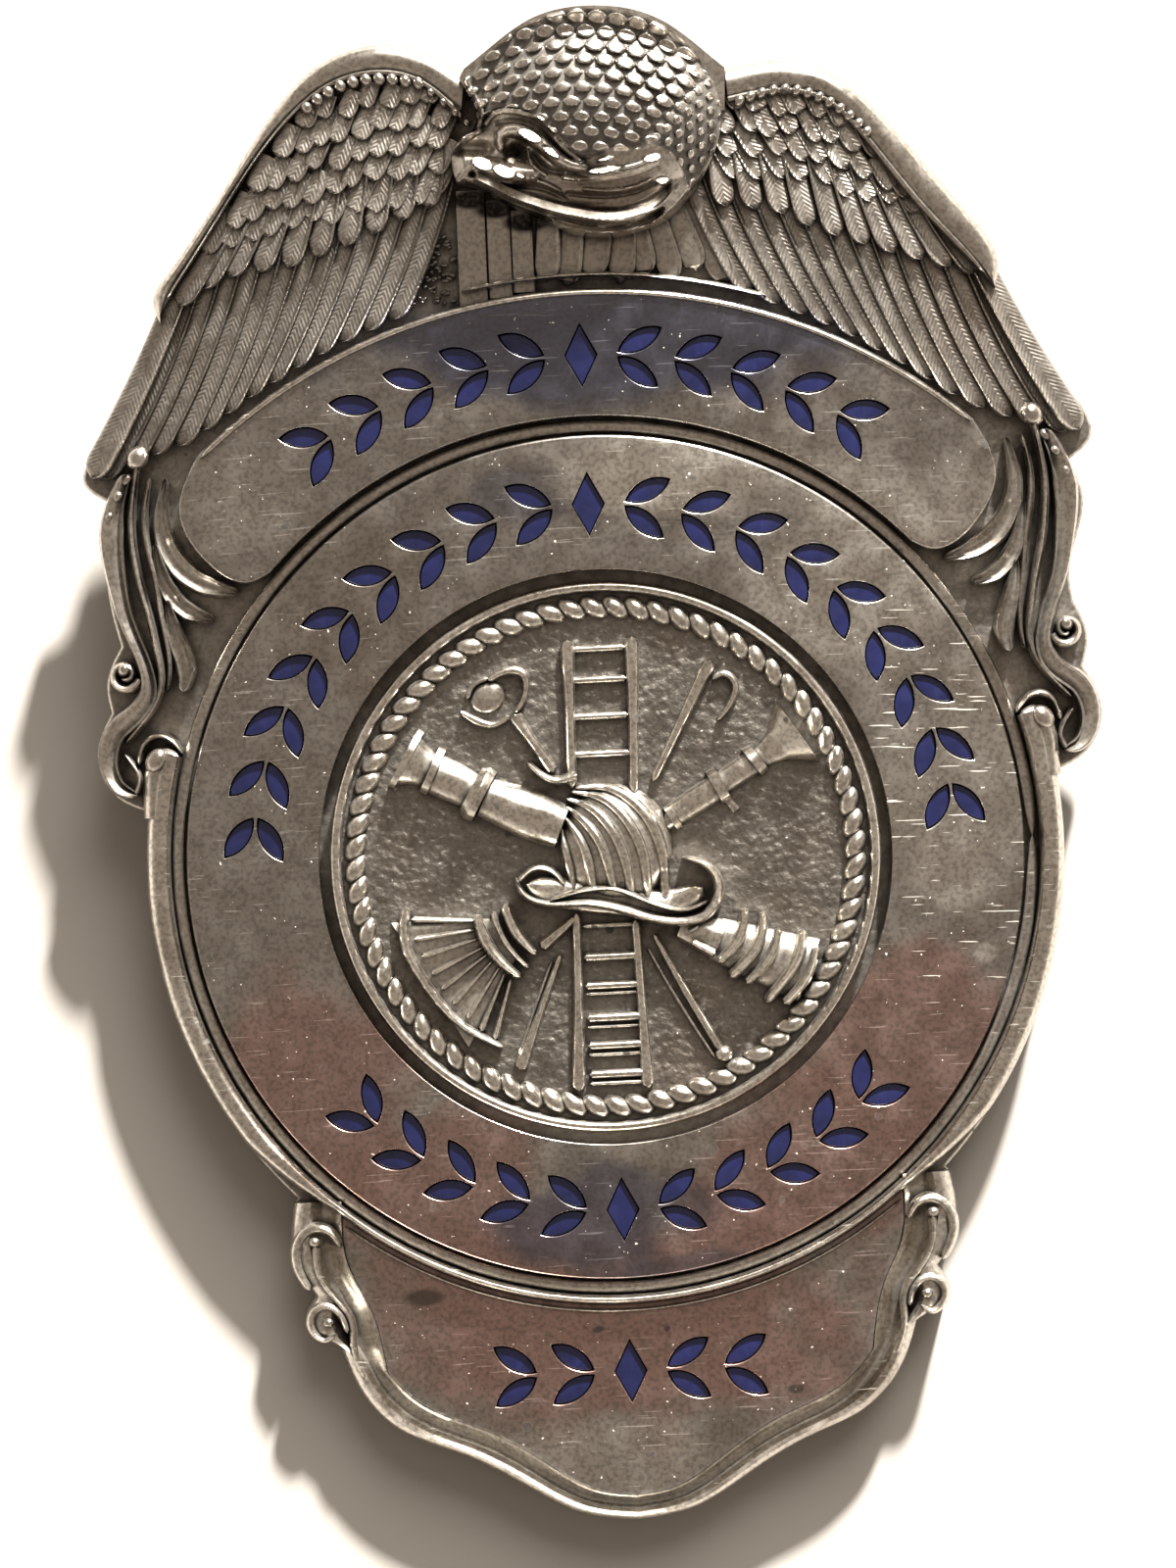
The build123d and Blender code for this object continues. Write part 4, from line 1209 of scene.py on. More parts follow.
# %% [markdown]
# ## The eagle's head
# The head is the one form that flows in all directions, so it is cut as a die sinker cuts it: as
# one surface whose height is worked out for every place. A dome gives the skull and a lower oval
# the beak. Hollows sink the nostril and the gape, round rolls raise the brow and the cheek, and
# ledges cut the edges of jaw and chin. Small flat facets lean towards the lamp, so they shine as
# the rubbed spots do. A lattice of ovals lays the small feathers. Each tool below takes all places
# at once, which numpy does fast enough for the seventy-five thousand of this surface.
# %% Tools for a sculpted surface
def nearest_on(line, x, y):
    """Distance of each place to a line, and how far along the line its nearest point lies."""
    best = np.full(x.shape, np.inf)
    share = np.zeros(x.shape)
    spans = len(line) - 1
    for index, (start, end) in enumerate(zip(line[:-1], line[1:])):
        span = end - start
        t = np.clip(((x - start[0]) * span[0] + (y - start[1]) * span[1]) / (span @ span), 0, 1)
        distance = np.hypot(x - start[0] - t * span[0], y - start[1] - t * span[1])
        nearer = distance < best
        best = np.where(nearer, distance, best)
        share = np.where(nearer, (index + t) / spans, share)
    return best, share


def measured_on(x, y, places, widths, rises):
    """Distance to a curve as a share of its width, and its rise, for each place."""
    distance, share = nearest_on(curve_through(places), x, y)
    width = np.interp(share, np.linspace(0, 1, len(widths)), widths)
    return distance / width, np.interp(share, np.linspace(0, 1, len(rises)), rises)


def ridge(x, y, places, widths, rises):
    """Soft ridge along a curve."""
    distance, rise = measured_on(x, y, places, widths, rises)
    return rise * np.exp(-(distance**2))


def roll(x, y, places, widths, rises):
    """Round bar laid along a curve."""
    distance, rise = measured_on(x, y, places, widths, rises)
    return rise * np.sqrt(np.maximum(1 - distance**2, 0))


def ledge(x, y, height, places, levels, width):
    """A surface with a band cut above an edge: steep below the edge, leaning to the lamp above it."""
    line = curve_through(places)
    above = y - np.interp(x, *line.T)
    first_x, last_x = line[0, 0], line[-1, 0]
    ends = smooth_step(x, first_x, first_x + 0.3) * (1 - smooth_step(x, last_x - 0.3, last_x))
    share = ends * np.interp(above / width, [-0.3, 0, 1, 1.25], [0, 1, 1, 0])
    band = np.interp(x, *np.array(levels).T) + lit_slope[1] * above
    return height + share * (band - height)


def oval_facet(x, y, height, place, half_length, half_width, turn, rise):
    """A surface with one flat oval cut on it, which leans towards the lamp."""
    dx, dy = x - place[0], y - place[1]
    u = dx * cos(radians(turn)) + dy * sin(radians(turn))
    v = dy * cos(radians(turn)) - dx * sin(radians(turn))
    dome = np.sqrt(np.maximum(1 - (u / half_length) ** 2 - (v / half_width) ** 2, 0))
    level = height.flat[np.argmin(dx**2 + dy**2)] + rise
    facet = level + lit_slope[0] * dx + lit_slope[1] * dy
    return height + np.minimum(2.2 * dome, 1) * (facet - height)


def smooth_step(value, low, high):
    """Soft switch from 0 to 1 between two values."""
    t = np.clip((value - low) / (high - low), 0, 1)
    return t * t * (3 - 2 * t)


def feather_lattice(x, y, bend, pitch, size, rise, turn_x=0.0, turn_y=0.0):
    """Rows of flat-topped ovals, each row shifted by half a step.

    Bend is a row's slope and curve; turn_x and turn_y tip each top about its own middle. The
    second thing returned is 1 on the ovals and 0 between them.
    """
    across = x - head_centre[0]
    u = (x - bend[0] * y) / pitch[0]
    v = (y + bend[0] * across + bend[1] * across**2) / pitch[1]
    row = np.round(v)
    u = u + 0.5 * (row % 2)
    du, dv = (u - np.round(u)) * pitch[0], (v - row) * pitch[1]
    dome = np.sqrt(np.maximum(1 - (du / size[0]) ** 2 - (dv / size[1]) ** 2, 0))
    top = np.minimum(1.7 * dome, 1)
    return rise * (0.8 * top + 0.2 * dome) + top * (turn_x * du + turn_y * dv), top


def oval_reach(x, y, centre, half_size):
    """0 in the middle of an oval, 1 on its edge and more outside."""
    return ((x - centre[0]) / half_size[0]) ** 2 + ((y - centre[1]) / half_size[1]) ** 2


print("smooth step halfway:", smooth_step(0.5, 0, 1))

# %% Lines of the head
head_centre, head_half_size, head_height = (0.95, 33.1), (6.25, 5.15), 4.1
skull_edge = [(-5.3, 31.0), (-5.3, 32.0), (-4.6, 32.7), (-4.15, 33.4), (-4.5, 34.6), (-4.85, 35.2)]
head_foot = [
    (-5.2, 30.6), (-4.5, 30.42), (-3.7, 30.0), (-2.8, 29.45), (-1.9, 29.05), (-1.1, 28.65),
    (-0.2, 28.1), (0.7, 27.9), (2.0, 27.85), (3.0, 28.05), (3.9, 28.35), (4.7, 28.9), (5.5, 29.8),
    (6.4, 31.3), (7.0, 33.2),
]
hood_line = [
    (-5.6, 31.6), (-4.6, 32.4), (-3.5, 33.4), (-2.6, 33.45), (-1.7, 33.1), (-1.1, 32.6), (-0.35, 31.75),
    (0.55, 31.1), (1.6, 31.35), (2.8, 31.35), (3.8, 31.45), (4.7, 30.9), (5.2, 29.6), (7.5, 26.0),
]
face_level = [(-5.3, 1.7), (-4.8, 2.3), (-2.5, 2.5), (0.5, 2.7), (3.0, 2.65), (4.6, 2.4), (6.5, 1.4)]
cliff_width = 0.3
lit_slope = (-0.16, -0.5)
jaw_edge = [
    (-4.5, 30.72), (-3.67, 30.28), (-2.79, 29.76), (-1.91, 29.36), (-1.02, 29.02), (-0.13, 28.76),
    (0.94, 28.52), (2.02, 28.46), (3.03, 28.7), (3.96, 29.24), (4.5, 29.85),
]
jaw_level = [(-4.5, 2.4), (-2.0, 2.65), (0.5, 2.8), (2.0, 2.75), (3.0, 2.55), (4.5, 2.0)]
chin_edge = [(-1.2, 28.6), (-0.25, 28.22), (0.74, 28.0), (2.0, 27.98), (3.1, 28.22), (4.1, 28.75)]
chin_level = [(-1.2, 2.1), (1.0, 2.25), (2.5, 2.15), (4.1, 1.7)]
facets = [
    # place, half length, half width, turn, rise
    ((-3.98, 31.29), 0.52, 0.29, -25, 0.2),
    ((-3.01, 30.83), 0.56, 0.29, -25, 0.2),
    ((-2.66, 31.34), 0.22, 0.16, -20, 0.15),
    ((-2.3, 30.6), 0.24, 0.13, -30, 0.15),
    ((-1.8, 32.28), 0.6, 0.24, -30, 0.05),
    ((-0.9, 31.52), 0.5, 0.15, -40, 0.05),
    ((0.1, 30.4), 0.66, 0.14, -4, 0.2),
    ((1.5, 30.66), 0.85, 0.18, 6, 0.2),
    ((1.55, 31.14), 0.45, 0.1, 14, 0.15),
    ((3.6, 31.08), 0.42, 0.18, 12, 0.2),
    ((4.06, 30.12), 0.38, 0.17, -6, 0.2),
]
beak_body = [(-1.8, 30.85), (-3.0, 31.0), (-4.05, 31.25), (-4.75, 31.05), (-5.08, 30.7)]
hollows = [
    # places, widths, depths
    ([(-2.75, 31.75), (-2.4, 31.8), (-2.1, 31.5)], [0.22, 0.3, 0.18], [0.9, 1.3, 0.6]),
    ([(-4.45, 30.93), (-3.4, 30.58), (-2.5, 30.3), (-1.5, 30.1), (-0.4, 29.6)], [0.13],
     [0.45, 0.4, 0.3, 0.2]),
    ([(-4.9, 32.1), (-4.3, 32.1), (-3.7, 32.0)], [0.32], [0.5, 0.5, 0.3]),
    ([(-3.2, 33.1), (-2.3, 33.05), (-1.4, 32.6), (-0.8, 31.95), (0.1, 31.25)], [0.16],
     [0.22, 0.22, 0.1]),
    ([(-1.7, 31.5), (-1.2, 30.9), (-0.5, 30.7)], [0.16], [0.35, 0.3]),
    ([(0.3, 30.2), (1.6, 30.2), (2.9, 30.4), (3.8, 30.75)], [0.13], [0.12]),
    ([(-0.2, 29.75), (1.2, 29.55), (2.9, 29.7), (4.0, 30.2)], [0.1], [0.2]),
    ([(-0.6, 29.2), (1.2, 28.95), (2.9, 29.1), (4.1, 29.75)], [0.12], [0.22]),
    ([(-3.9, 30.2), (-2.6, 29.55), (-1.2, 28.95), (0.6, 28.36), (2.4, 28.32), (4.0, 28.9)], [0.09],
     [0.1, 0.28]),
]
rolls = [
    # places, widths, rises
    ([(-3.1, 31.95), (-3.17, 32.45), (-2.75, 32.65), (-1.8, 32.3), (-1.2, 31.85), (-0.55, 31.22),
      (0.0, 30.92), (0.55, 30.78)],
     [0.2, 0.3, 0.34, 0.34, 0.32, 0.3, 0.22], [0.4, 0.75, 0.85, 0.75, 0.55, 0.5]),
    ([(-3.75, 33.1), (-3.4, 33.45), (-2.6, 33.5), (-1.7, 33.18), (-1.15, 32.8)], [0.13], [0.3, 0.35, 0.2]),
    ([(-1.0, 32.6), (-0.35, 31.7), (0.45, 31.05)], [0.12], [0.15, 0.35, 0.3]),
    ([(-5.3, 32.05), (-4.7, 32.45), (-4.05, 32.8)], [0.13], [0.35]),
    ([(-4.1, 32.9), (-3.9, 33.4), (-4.25, 34.5), (-4.5, 35.1)], [0.12], [0.35]),
    ([(-1.95, 31.7), (-1.85, 31.3), (-1.55, 30.9), (-1.2, 30.6)], [0.1], [0.25]),
    ([(-1.8, 30.45), (-1.2, 30.2), (-0.6, 29.85)], [0.1], [0.2]),
    ([(2.2, 30.66), (2.8, 30.76), (3.4, 30.96)], [0.12], [0.25]),
    ([(0.5, 29.9), (1.6, 29.75), (2.7, 29.85), (3.5, 30.15)], [0.08], [0.16]),
]
print("head outline from", skull_edge[0], "to", head_foot[-1])

# %% The head's surface
def small_feathers(x, y, reach, dome):
    """The feathers' height and the bare ground between them, where they cover the head."""
    hooded = smooth_step(y - np.interp(x, *curve_through(hood_line).T), 0.02, 0.3)
    covered = hooded * smooth_step(1 - reach, 0.1, 0.17)
    to_neck = smooth_step(x + 0.8 * (33.6 - y), 4.2, 6.0)
    lit = smooth_step(0.9 * x + 1.3 * (y - 35.2), -0.3, 2.3)
    slopes = [
        np.maximum(-(head_height**2) * (place - centre) / (half**2 * dome), -1.6)
        for place, centre, half in zip((x, y), head_centre, head_half_size)
    ]
    turn_x, turn_y = [0.85 * lit * (wanted - slope) for wanted, slope in zip(lit_slope, slopes)]
    size = (0.37 + 0.07 * lit, 0.23 + 0.08 * lit)
    large, on_large = feather_lattice(
        x, y, (0.10, 0.035), (0.92, 0.66), size, 0.22 + 0.06 * lit, turn_x, turn_y
    )
    small, on_small = feather_lattice(x, y, (0.5, 0.0), (0.64, 0.62), (0.2, 0.22), 0.2)
    height = large * (1 - to_neck) + small * to_neck - 0.12
    bare = 1 - on_large * (1 - to_neck) - on_small * to_neck
    return hooded, covered * height, covered * bare


def head_dome(x, y):
    """How far out each place lies in the skull's oval, and the plain skull's height there."""
    reach = oval_reach(x, y, head_centre, head_half_size)
    return reach, head_height * np.sqrt(np.maximum(1 - reach, 0.03))


def head_surface(x, y):
    """Height of the head over the field at each place."""
    reach, dome = head_dome(x, y)
    inwards = np.clip(nearest_on(curve_through(head_foot), x, y)[0] / cliff_width, 0, 1)
    cliff = 0.4 + 0.6 * np.sqrt(1 - (1 - inwards) ** 2)
    height = np.maximum(dome, np.interp(x, *np.array(face_level).T) * cliff)
    hooded, feathers, _ = small_feathers(x, y, reach, dome)
    face = smooth_step(x, -5.4, -3.6) * (1 - smooth_step(x, 0.3, 2.2))
    height = height - (0.12 + 0.38 * face) * (1 - hooded) + feathers
    beak, top = measured_on(x, y, beak_body, [0.5, 0.62, 0.6, 0.4, 0.2], [3.05, 3.1, 2.75, 2.35, 1.9])
    back = top - 0.45 * (y - 31.05) - 0.75 * (1 - np.sqrt(np.maximum(1 - beak**2, 0)))
    height = np.where(beak < 1, np.maximum(height, back), height)
    for places, widths, depths in hollows:
        height = height - ridge(x, y, places, widths, depths)
    for places, widths, rises in rolls:
        height = height + roll(x, y, places, widths, rises)
    for facet in facets:
        height = oval_facet(x, y, height, *facet)
    height = ledge(x, y, height, chin_edge, chin_level, 0.24)
    return ledge(x, y, height, jaw_edge, jaw_level, 0.4)


def sculpted(lower, upper, surface, steps, columns, low):
    """Skin between two lines whose height comes from a function of the place."""
    lower, upper = even_steps(lower, steps), even_steps(upper, steps)
    share = np.linspace(0, 1, columns)[None, :, None]
    places = upper[:, None, :] * (1 - share) + lower[:, None, :] * share
    return skin(upper, lower, surface(places[:, :, 0], places[:, :, 1]), low)


head_top = np.concatenate([curve_through(skull_edge), curve_through(crown_line), [(7.05, 34.2)]])
head_steps, head_columns = 290, 260
head_shape = sculpted(curve_through(head_foot), head_top, head_surface, head_steps, head_columns, root)
head_x, head_y = head_shape[0][:, 0], head_shape[0][:, 1]
head_shape[2][:, 2] = small_feathers(head_x, head_y, *head_dome(head_x, head_y))[2]
make_piece("eagle_head", [head_shape], relief_metal, crease=60.0)

# %% [markdown]
# ### Below the head
# Three strips with raised edges, a few short feathers and a patch of punched dots fill the space
# between the head and the banner.
# %% Build the strips, short feathers and punched dots
strip_lines = [
    # start, end, half width
    ((-4.65, 30.3), (-4.7, 25.1), 0.68),
    ((-3.42, 29.8), (-3.45, 25.4), 0.55),
    ((-2.38, 29.3), (-2.4, 25.6), 0.5),
]
short_feathers = [
    # root, tip, width
    ((-1.2, 28.9), (-1.4, 26.0), 1.3), ((-0.1, 28.5), (-0.5, 25.8), 1.3), ((1.1, 28.3), (0.6, 26.1), 1.5),
    ((2.2, 28.3), (1.9, 25.8), 1.4), ((2.7, 28.5), (3.1, 26.1), 1.3), ((3.6, 28.8), (4.3, 25.8), 1.3),
    ((4.5, 29.2), (5.4, 26.2), 1.3), ((5.0, 30.0), (6.7, 25.6), 1.3),
]
strip_section = [0.0, 0.7, 1.0, 0.75, 0.7, 0.75, 1.0, 0.7, 0.0]
below_head = []
for start, end, half in strip_lines:
    line = np.linspace(start, end, 12)
    below_head.append(ribbon(line, half, strip_section, 0.35, 0.2, root, round_across))
for start, tip, width in short_feathers:
    below_head.append(feather(start, tip, 0.02, width, 0.35, 0.12, 0.18))
dice = random.Random(7)
for _ in range(70):
    y = dice.uniform(25.3, 28.4)
    x = dice.uniform(-6.6 - 0.5 * (28.6 - y), -5.5)
    length, turn = dice.uniform(0.22, 0.4), dice.uniform(-20, 20)
    below_head.append(bead(x, y, length, 0.2, 0.28, 0.1, turn, rings=2, sides=8))
make_piece("below_the_head", below_head, relief_metal)

# %% [markdown]
# ## Side scrolls and acanthus leaves
# On both sides a flowing band leaves the wing, swells, coils into a small volute and hooks over
# the end of the rim, while three leaves peel off inwards. Lines with a width at each station
# describe them all; the left side is the right side mirrored.
# %% Scroll lines
scroll_lines = [
    # places, half widths, foot height, crown, section
    ([(20.9, 18.4), (21.5, 17.0), (21.75, 15.4), (21.6, 13.6), (21.3, 12.0), (20.85, 10.7), (20.45, 9.5),
      (20.4, 8.4), (21.0, 7.5), (21.9, 6.8), (22.35, 5.8), (22.3, 4.8), (21.8, 4.05), (21.1, 3.8)],
     [0.3, 0.45, 0.62, 0.55, 0.45, 0.38, 0.34, 0.36, 0.5, 0.55, 0.5, 0.42, 0.25], 0.35, 0.85, "band"),
    ([(20.35, 19.0), (20.65, 17.5), (20.8, 16.0), (20.7, 14.5), (20.45, 13.0), (20.1, 11.6), (19.85, 10.2),
      (19.75, 8.9), (20.1, 7.9), (20.9, 6.9), (21.5, 6.2)],
     [0.16, 0.22, 0.22, 0.2, 0.16], 0.3, 0.75, "round"),
    ([(19.85, 18.2), (20.15, 16.8), (20.1, 15.2), (19.8, 13.6), (19.6, 12.0), (19.4, 10.6), (19.35, 9.4),
      (19.5, 8.5)], [0.12, 0.19, 0.19, 0.17, 0.1], 0.2, 0.65, "round"),
    ([(19.1, 18.1), (19.4, 16.6), (19.25, 15.2), (18.6, 14.0), (17.5, 13.2), (16.0, 12.75)],
     [0.14, 0.36, 0.5, 0.58, 0.52, 0.2], 0.25, 0.7, "leaf"),
    ([(19.75, 15.2), (19.55, 13.9), (19.1, 12.8), (18.3, 12.0), (17.2, 11.6)],
     [0.12, 0.34, 0.46, 0.46, 0.2], 0.25, 0.7, "leaf"),
    ([(19.3, 12.6), (19.15, 11.5), (18.85, 10.4), (18.6, 9.4), (18.8, 8.4)],
     [0.12, 0.36, 0.5, 0.5, 0.26], 0.25, 0.65, "leaf"),
    ([(21.2, 3.85), (20.95, 4.5), (21.25, 5.2), (21.6, 5.7)], [0.12, 0.16, 0.12], 0.5, 0.5, "round"),
    ([(20.35, 2.6), (20.3, 4.0), (20.15, 5.0), (19.75, 5.6), (19.1, 5.45)],
     [0.56, 0.55, 0.6, 0.45, 0.2], 0.4, 0.85, "round"),
    ([(20.95, 5.2), (20.75, 6.0), (20.1, 6.45), (19.4, 6.2), (18.95, 5.6)],
     [0.12, 0.18, 0.2, 0.16, 0.1], 0.4, 0.7, "round"),
]
sections = {
    "round": (round_section, round_across),
    "band": ([0.1, 0.7, 0.95, 1.0, 0.9, 0.75, 0.6, 0.55, 0.75, 0.85, 0.1],
             [0.0, 0.05, 0.14, 0.26, 0.42, 0.58, 0.7, 0.78, 0.87, 0.95, 1.0]),
    "leaf": ([0.0, 0.55, 0.7, 0.62, 0.5, 0.48, 0.55, 0.8, 1.0, 0.8, 0.0],
             [0.0, 0.06, 0.14, 0.24, 0.36, 0.5, 0.64, 0.76, 0.86, 0.94, 1.0]),
}
scroll_beads = [
    # x, y, length, width, height, foot
    (20.35, 19.1, 1.15, 1.0, 0.55, 0.9),
    (20.9, 18.15, 0.6, 0.42, 0.25, 0.9),
    (21.35, 17.4, 0.55, 0.4, 0.25, 1.0),
    (21.8, 16.5, 0.5, 0.36, 0.25, 1.0),
    (21.45, 9.55, 0.75, 0.65, 0.5, 0.8),
    (20.15, 5.35, 1.2, 0.9, 0.4, 1.15),
]
volute_centre, volute_turns, volute_steps = (21.42, 9.3), (-160, 300), 70
print("scroll lines:", len(scroll_lines))

# %% Build both side scrolls
def flowing(places, half_widths, foot, crown, kind):
    """Ribbon along a curve with a half width at each station and fine ends."""
    line = curve_through(places, 0.12)
    half = spread(half_widths, len(line)) * rounded_ends(len(line), 0.03, 0.05)
    section, across = sections[kind]
    return ribbon(line, half, section, foot, crown, root, across)


def volute():
    """Small coil whose radius shrinks as it turns."""
    radius = np.linspace(0.72, 0.2, volute_steps)
    line = on_circle(radius, np.linspace(*volute_turns, volute_steps), volute_centre)
    half = np.linspace(0.24, 0.12, volute_steps)
    return ribbon(line, half, round_section, 0.5, 0.65, root, round_across)


def other_side(shape):
    """The same shape mirrored across the badge's middle line."""
    points, faces, flow = shape
    return points * (-1, 1, 1), [face[::-1] for face in faces], flow * (-1, 1, 1)


scroll_shapes = [flowing(*entry) for entry in scroll_lines] + [volute()]
for x, y, length, width, height, foot in scroll_beads:
    scroll_shapes.append(bead(x, y, length, width, height, foot, turn=-50, rings=4, sides=16))
scroll_shapes += [other_side(shape) for shape in scroll_shapes]
make_piece("side_scrolls", scroll_shapes, relief_metal)

# %% [markdown]
# ## Border of the base
# The base has a border with two rolls and a hollow between them. It is one skin between the
# silhouette and the panel's outline, and at its upper ends two small curls close it.
# %% Build the base's border
border_section = [0.1, 0.6, 0.85, 1.0, 0.92, 0.6, 0.28, 0.14, 0.12, 0.22, 0.45, 0.5]
border_across = [0.0, 0.05, 0.12, 0.25, 0.38, 0.46, 0.52, 0.60, 0.72, 0.85, 0.93, 1.0]
border_foot = 0.3
upper_steps, lower_steps = 60, 110
border_lines = [
    ([(12.85, -17.0), (13.3, -16.3), (14.1, -16.15), (14.75, -16.8), (14.8, -17.9), (14.3, -18.9)],
     [0.16, 0.26, 0.3, 0.3, 0.26, 0.2], 0.9, 0.55, "round"),
    ([(13.95, -16.9), (13.9, -18.1), (13.2, -19.3), (12.5, -20.4), (12.45, -21.6), (12.0, -23.0)],
     [0.24, 0.2, 0.18, 0.18, 0.16], 0.9, 0.5, "round"),
    ([(12.7, -20.9), (12.95, -20.1), (13.6, -19.65), (14.25, -20.0), (14.3, -20.7), (13.7, -21.2),
      (13.2, -20.9)],
     [0.16, 0.22, 0.25, 0.24, 0.2, 0.14], 0.9, 0.55, "round"),
]


def border_edge(upper, lower):
    """An edge of the border: an upper and a lower stretch, each with its own number of places."""
    return np.concatenate([even_steps(upper, upper_steps), even_steps(lower, lower_steps)[1:]])


def border_half():
    """Border on the badge's right side, from the ring's bead down to the tip."""
    upper_outer = np.concatenate([base_scroll_line, curve_through(base_curl)[1:]])
    outer = border_edge(upper_outer, curve_through(base_foot))
    inner = border_edge(curve_through(base_panel_side), curve_through(base_panel_foot))
    heights = border_foot + np.tile(border_section, (len(outer), 1))
    return skin(outer, inner, heights, root, border_across)


border_shapes = [border_half()] + [flowing(*entry) for entry in border_lines]
for x, y, foot in ((13.55, -20.4, 1.1), (14.0, -16.75, 1.15)):
    border_shapes.append(bead(x, y, 0.6, 0.5, 0.4, foot, rings=4, sides=14))
border_shapes += [other_side(shape) for shape in border_shapes]
make_piece("base_border", border_shapes, rim_metal)

# %% [markdown]
# ## The centre seal
# The seal is a separate flat disc, a little smaller than its seat, so a dark gap runs round it. It
# has a punched field, a low flat rim and a rope of slanted strands round the fire service's emblem
# of ladder, helmet, hose nozzle, trumpet, coupling and pike pole. Its tools are turned forms, so
# each is a line with a width at every station.
# %% Disc, rim and rope
seal_field = 0.1
disc_radius = 12.45
seal_rim_radius, seal_rim_half, seal_rim_foot, seal_rim_crown = 12.19, 0.26, 0.2, 0.38
rope_radius, rope_strands, rope_slant = 11.27, 72, 58.0
strand_length, strand_width, strand_height, strand_foot = 1.5, 0.86, 0.52, 0.07
emblem_root = seal_field - 0.25

disc_shape = panel(arc_line(disc_radius, 0, 359), [], seal_bottom, seal_field, 0.05)
seal_disc = make_piece("seal_disc", [disc_shape], seal_ground, arched=False)
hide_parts("centre_seal")

seal_rim_section = [0.0, 0.75, 0.95, 1.0, 0.95, 0.75, 0.0]
seal_rim_line = arc_line(seal_rim_radius, 0, 360, step=0.2)
seal_edge = [
    ribbon(seal_rim_line, seal_rim_half, seal_rim_section, seal_rim_foot, seal_rim_crown, emblem_root)
]
for strand in range(rope_strands):
    angle = 360 * strand / rope_strands
    x, y = on_circle(rope_radius, [angle])[0]
    seal_edge.append(bead(
        x, y, strand_length, strand_width, strand_height, strand_foot, angle + rope_slant, rings=4, sides=14,
    ))
make_piece("seal_rim_and_rope", seal_edge, emblem_metal, arched=False)

# %% Tools of the emblem
turned_forms = [
    # places, half widths, crown share of the half width
    ([(-1.9, 1.45), (-3.4, 2.1), (-5.3, 2.95)], [1.05, 1.2, 1.1, 0.95], 1.0),
    ([(-5.35, 2.95), (-5.95, 3.3)], [1.3, 1.35, 1.15], 1.0),
    ([(-5.9, 3.25), (-7.6, 4.15)], [0.85, 0.95, 0.95], 0.95),
    ([(-7.45, 4.15), (-7.75, 4.3)], [1.15, 1.15], 1.0),
    ([(-7.8, 4.3), (-8.75, 4.8)], [0.85, 1.0, 1.3], 0.8),
    ([(-8.65, 4.75), (-8.9, 4.9)], [1.5, 1.5], 0.75),
    ([(2.4, 1.15), (3.1, 1.6)], [0.35, 0.4], 1.0),
    ([(3.0, 1.55), (3.25, 1.7)], [0.62, 0.62], 1.0),
    ([(3.2, 1.75), (5.1, 2.85)], [0.55, 0.62, 0.62], 1.0),
    ([(5.05, 2.85), (5.45, 3.05)], [0.85, 0.85], 1.0),
    ([(5.4, 3.05), (6.9, 3.95)], [0.56, 0.58, 0.58], 1.0),
    ([(6.8, 3.9), (7.15, 4.15)], [0.8, 0.72], 1.0),
    ([(7.1, 4.1), (7.9, 4.6), (8.9, 5.25)], [0.5, 0.85, 1.75], 0.75),
    ([(5.45, 2.6), (6.0, 1.8)], [0.2, 0.22], 1.0),
    ([(3.25, -3.25), (5.0, -4.0)], [0.7, 0.95], 0.9),
    ([(4.8, -3.95), (8.9, -5.6)], [1.0, 1.55], 0.6),
]
tool_bars = [
    # places, half widths, height of the back
    ([(-1.25, 9.85), (-1.28, 7.0), (-1.35, 3.2)], [0.34, 0.24, 0.24], 0.62),
    ([(1.65, 9.85), (1.58, 7.0), (1.42, 2.8)], [0.36, 0.24, 0.24], 0.62),
    ([(-1.45, -2.5), (-1.55, -6.5), (-1.72, -10.5)], [0.22, 0.22, 0.34], 0.55),
    ([(1.2, -2.9), (1.3, -6.5), (1.4, -10.5)], [0.22, 0.22, 0.32], 0.55),
    ([(-3.8, 6.6), (-3.0, 5.3), (-2.15, 3.95)], [0.34, 0.22, 0.3], 0.62),
    ([(5.15, 8.6), (3.9, 6.3), (2.3, 3.3)], [0.34, 0.24, 0.17], 0.6),
    ([(5.2, 7.75), (5.75, 8.0), (6.2, 7.6), (6.05, 6.8), (5.35, 5.9)], [0.13, 0.17, 0.17, 0.16, 0.1], 0.5),
    ([(-3.1, -3.95), (-1.5, -2.7)], [0.27, 0.16], 0.55),
    ([(-2.25, -4.3), (-3.3, -6.9), (-4.35, -9.4)], [0.14, 0.17, 0.34], 0.5),
    ([(-2.65, -4.6), (-3.5, -6.6), (-4.5, -9.2)], [0.08, 0.09, 0.1], 0.35),
    ([(2.0, -3.6), (3.4, -6.4), (4.8, -9.0)], [0.13, 0.2, 0.2], 0.5),
    ([(1.7, -4.2), (3.1, -6.9), (4.5, -9.3)], [0.08, 0.09, 0.08], 0.35),
    ([(3.6, -3.55), (4.0, -3.3)], [0.2, 0.2], 0.85),
    ([(3.7, -4.0), (4.7, -4.6)], [0.22, 0.26], 1.1),
    ([(-4.9, 8.2), (-4.2, 8.55), (-3.35, 8.45), (-3.25, 7.5), (-3.75, 6.7)],
     [0.16, 0.2, 0.2, 0.14, 0.12], 0.55),
    ([(-6.2, 6.85), (-5.6, 6.45), (-4.8, 6.2), (-4.0, 6.55)], [0.14, 0.2, 0.16, 0.14], 0.5),
    ([(-5.9, 7.4), (-5.6, 8.0), (-4.9, 8.3)], [0.13, 0.12, 0.12], 0.42),
]
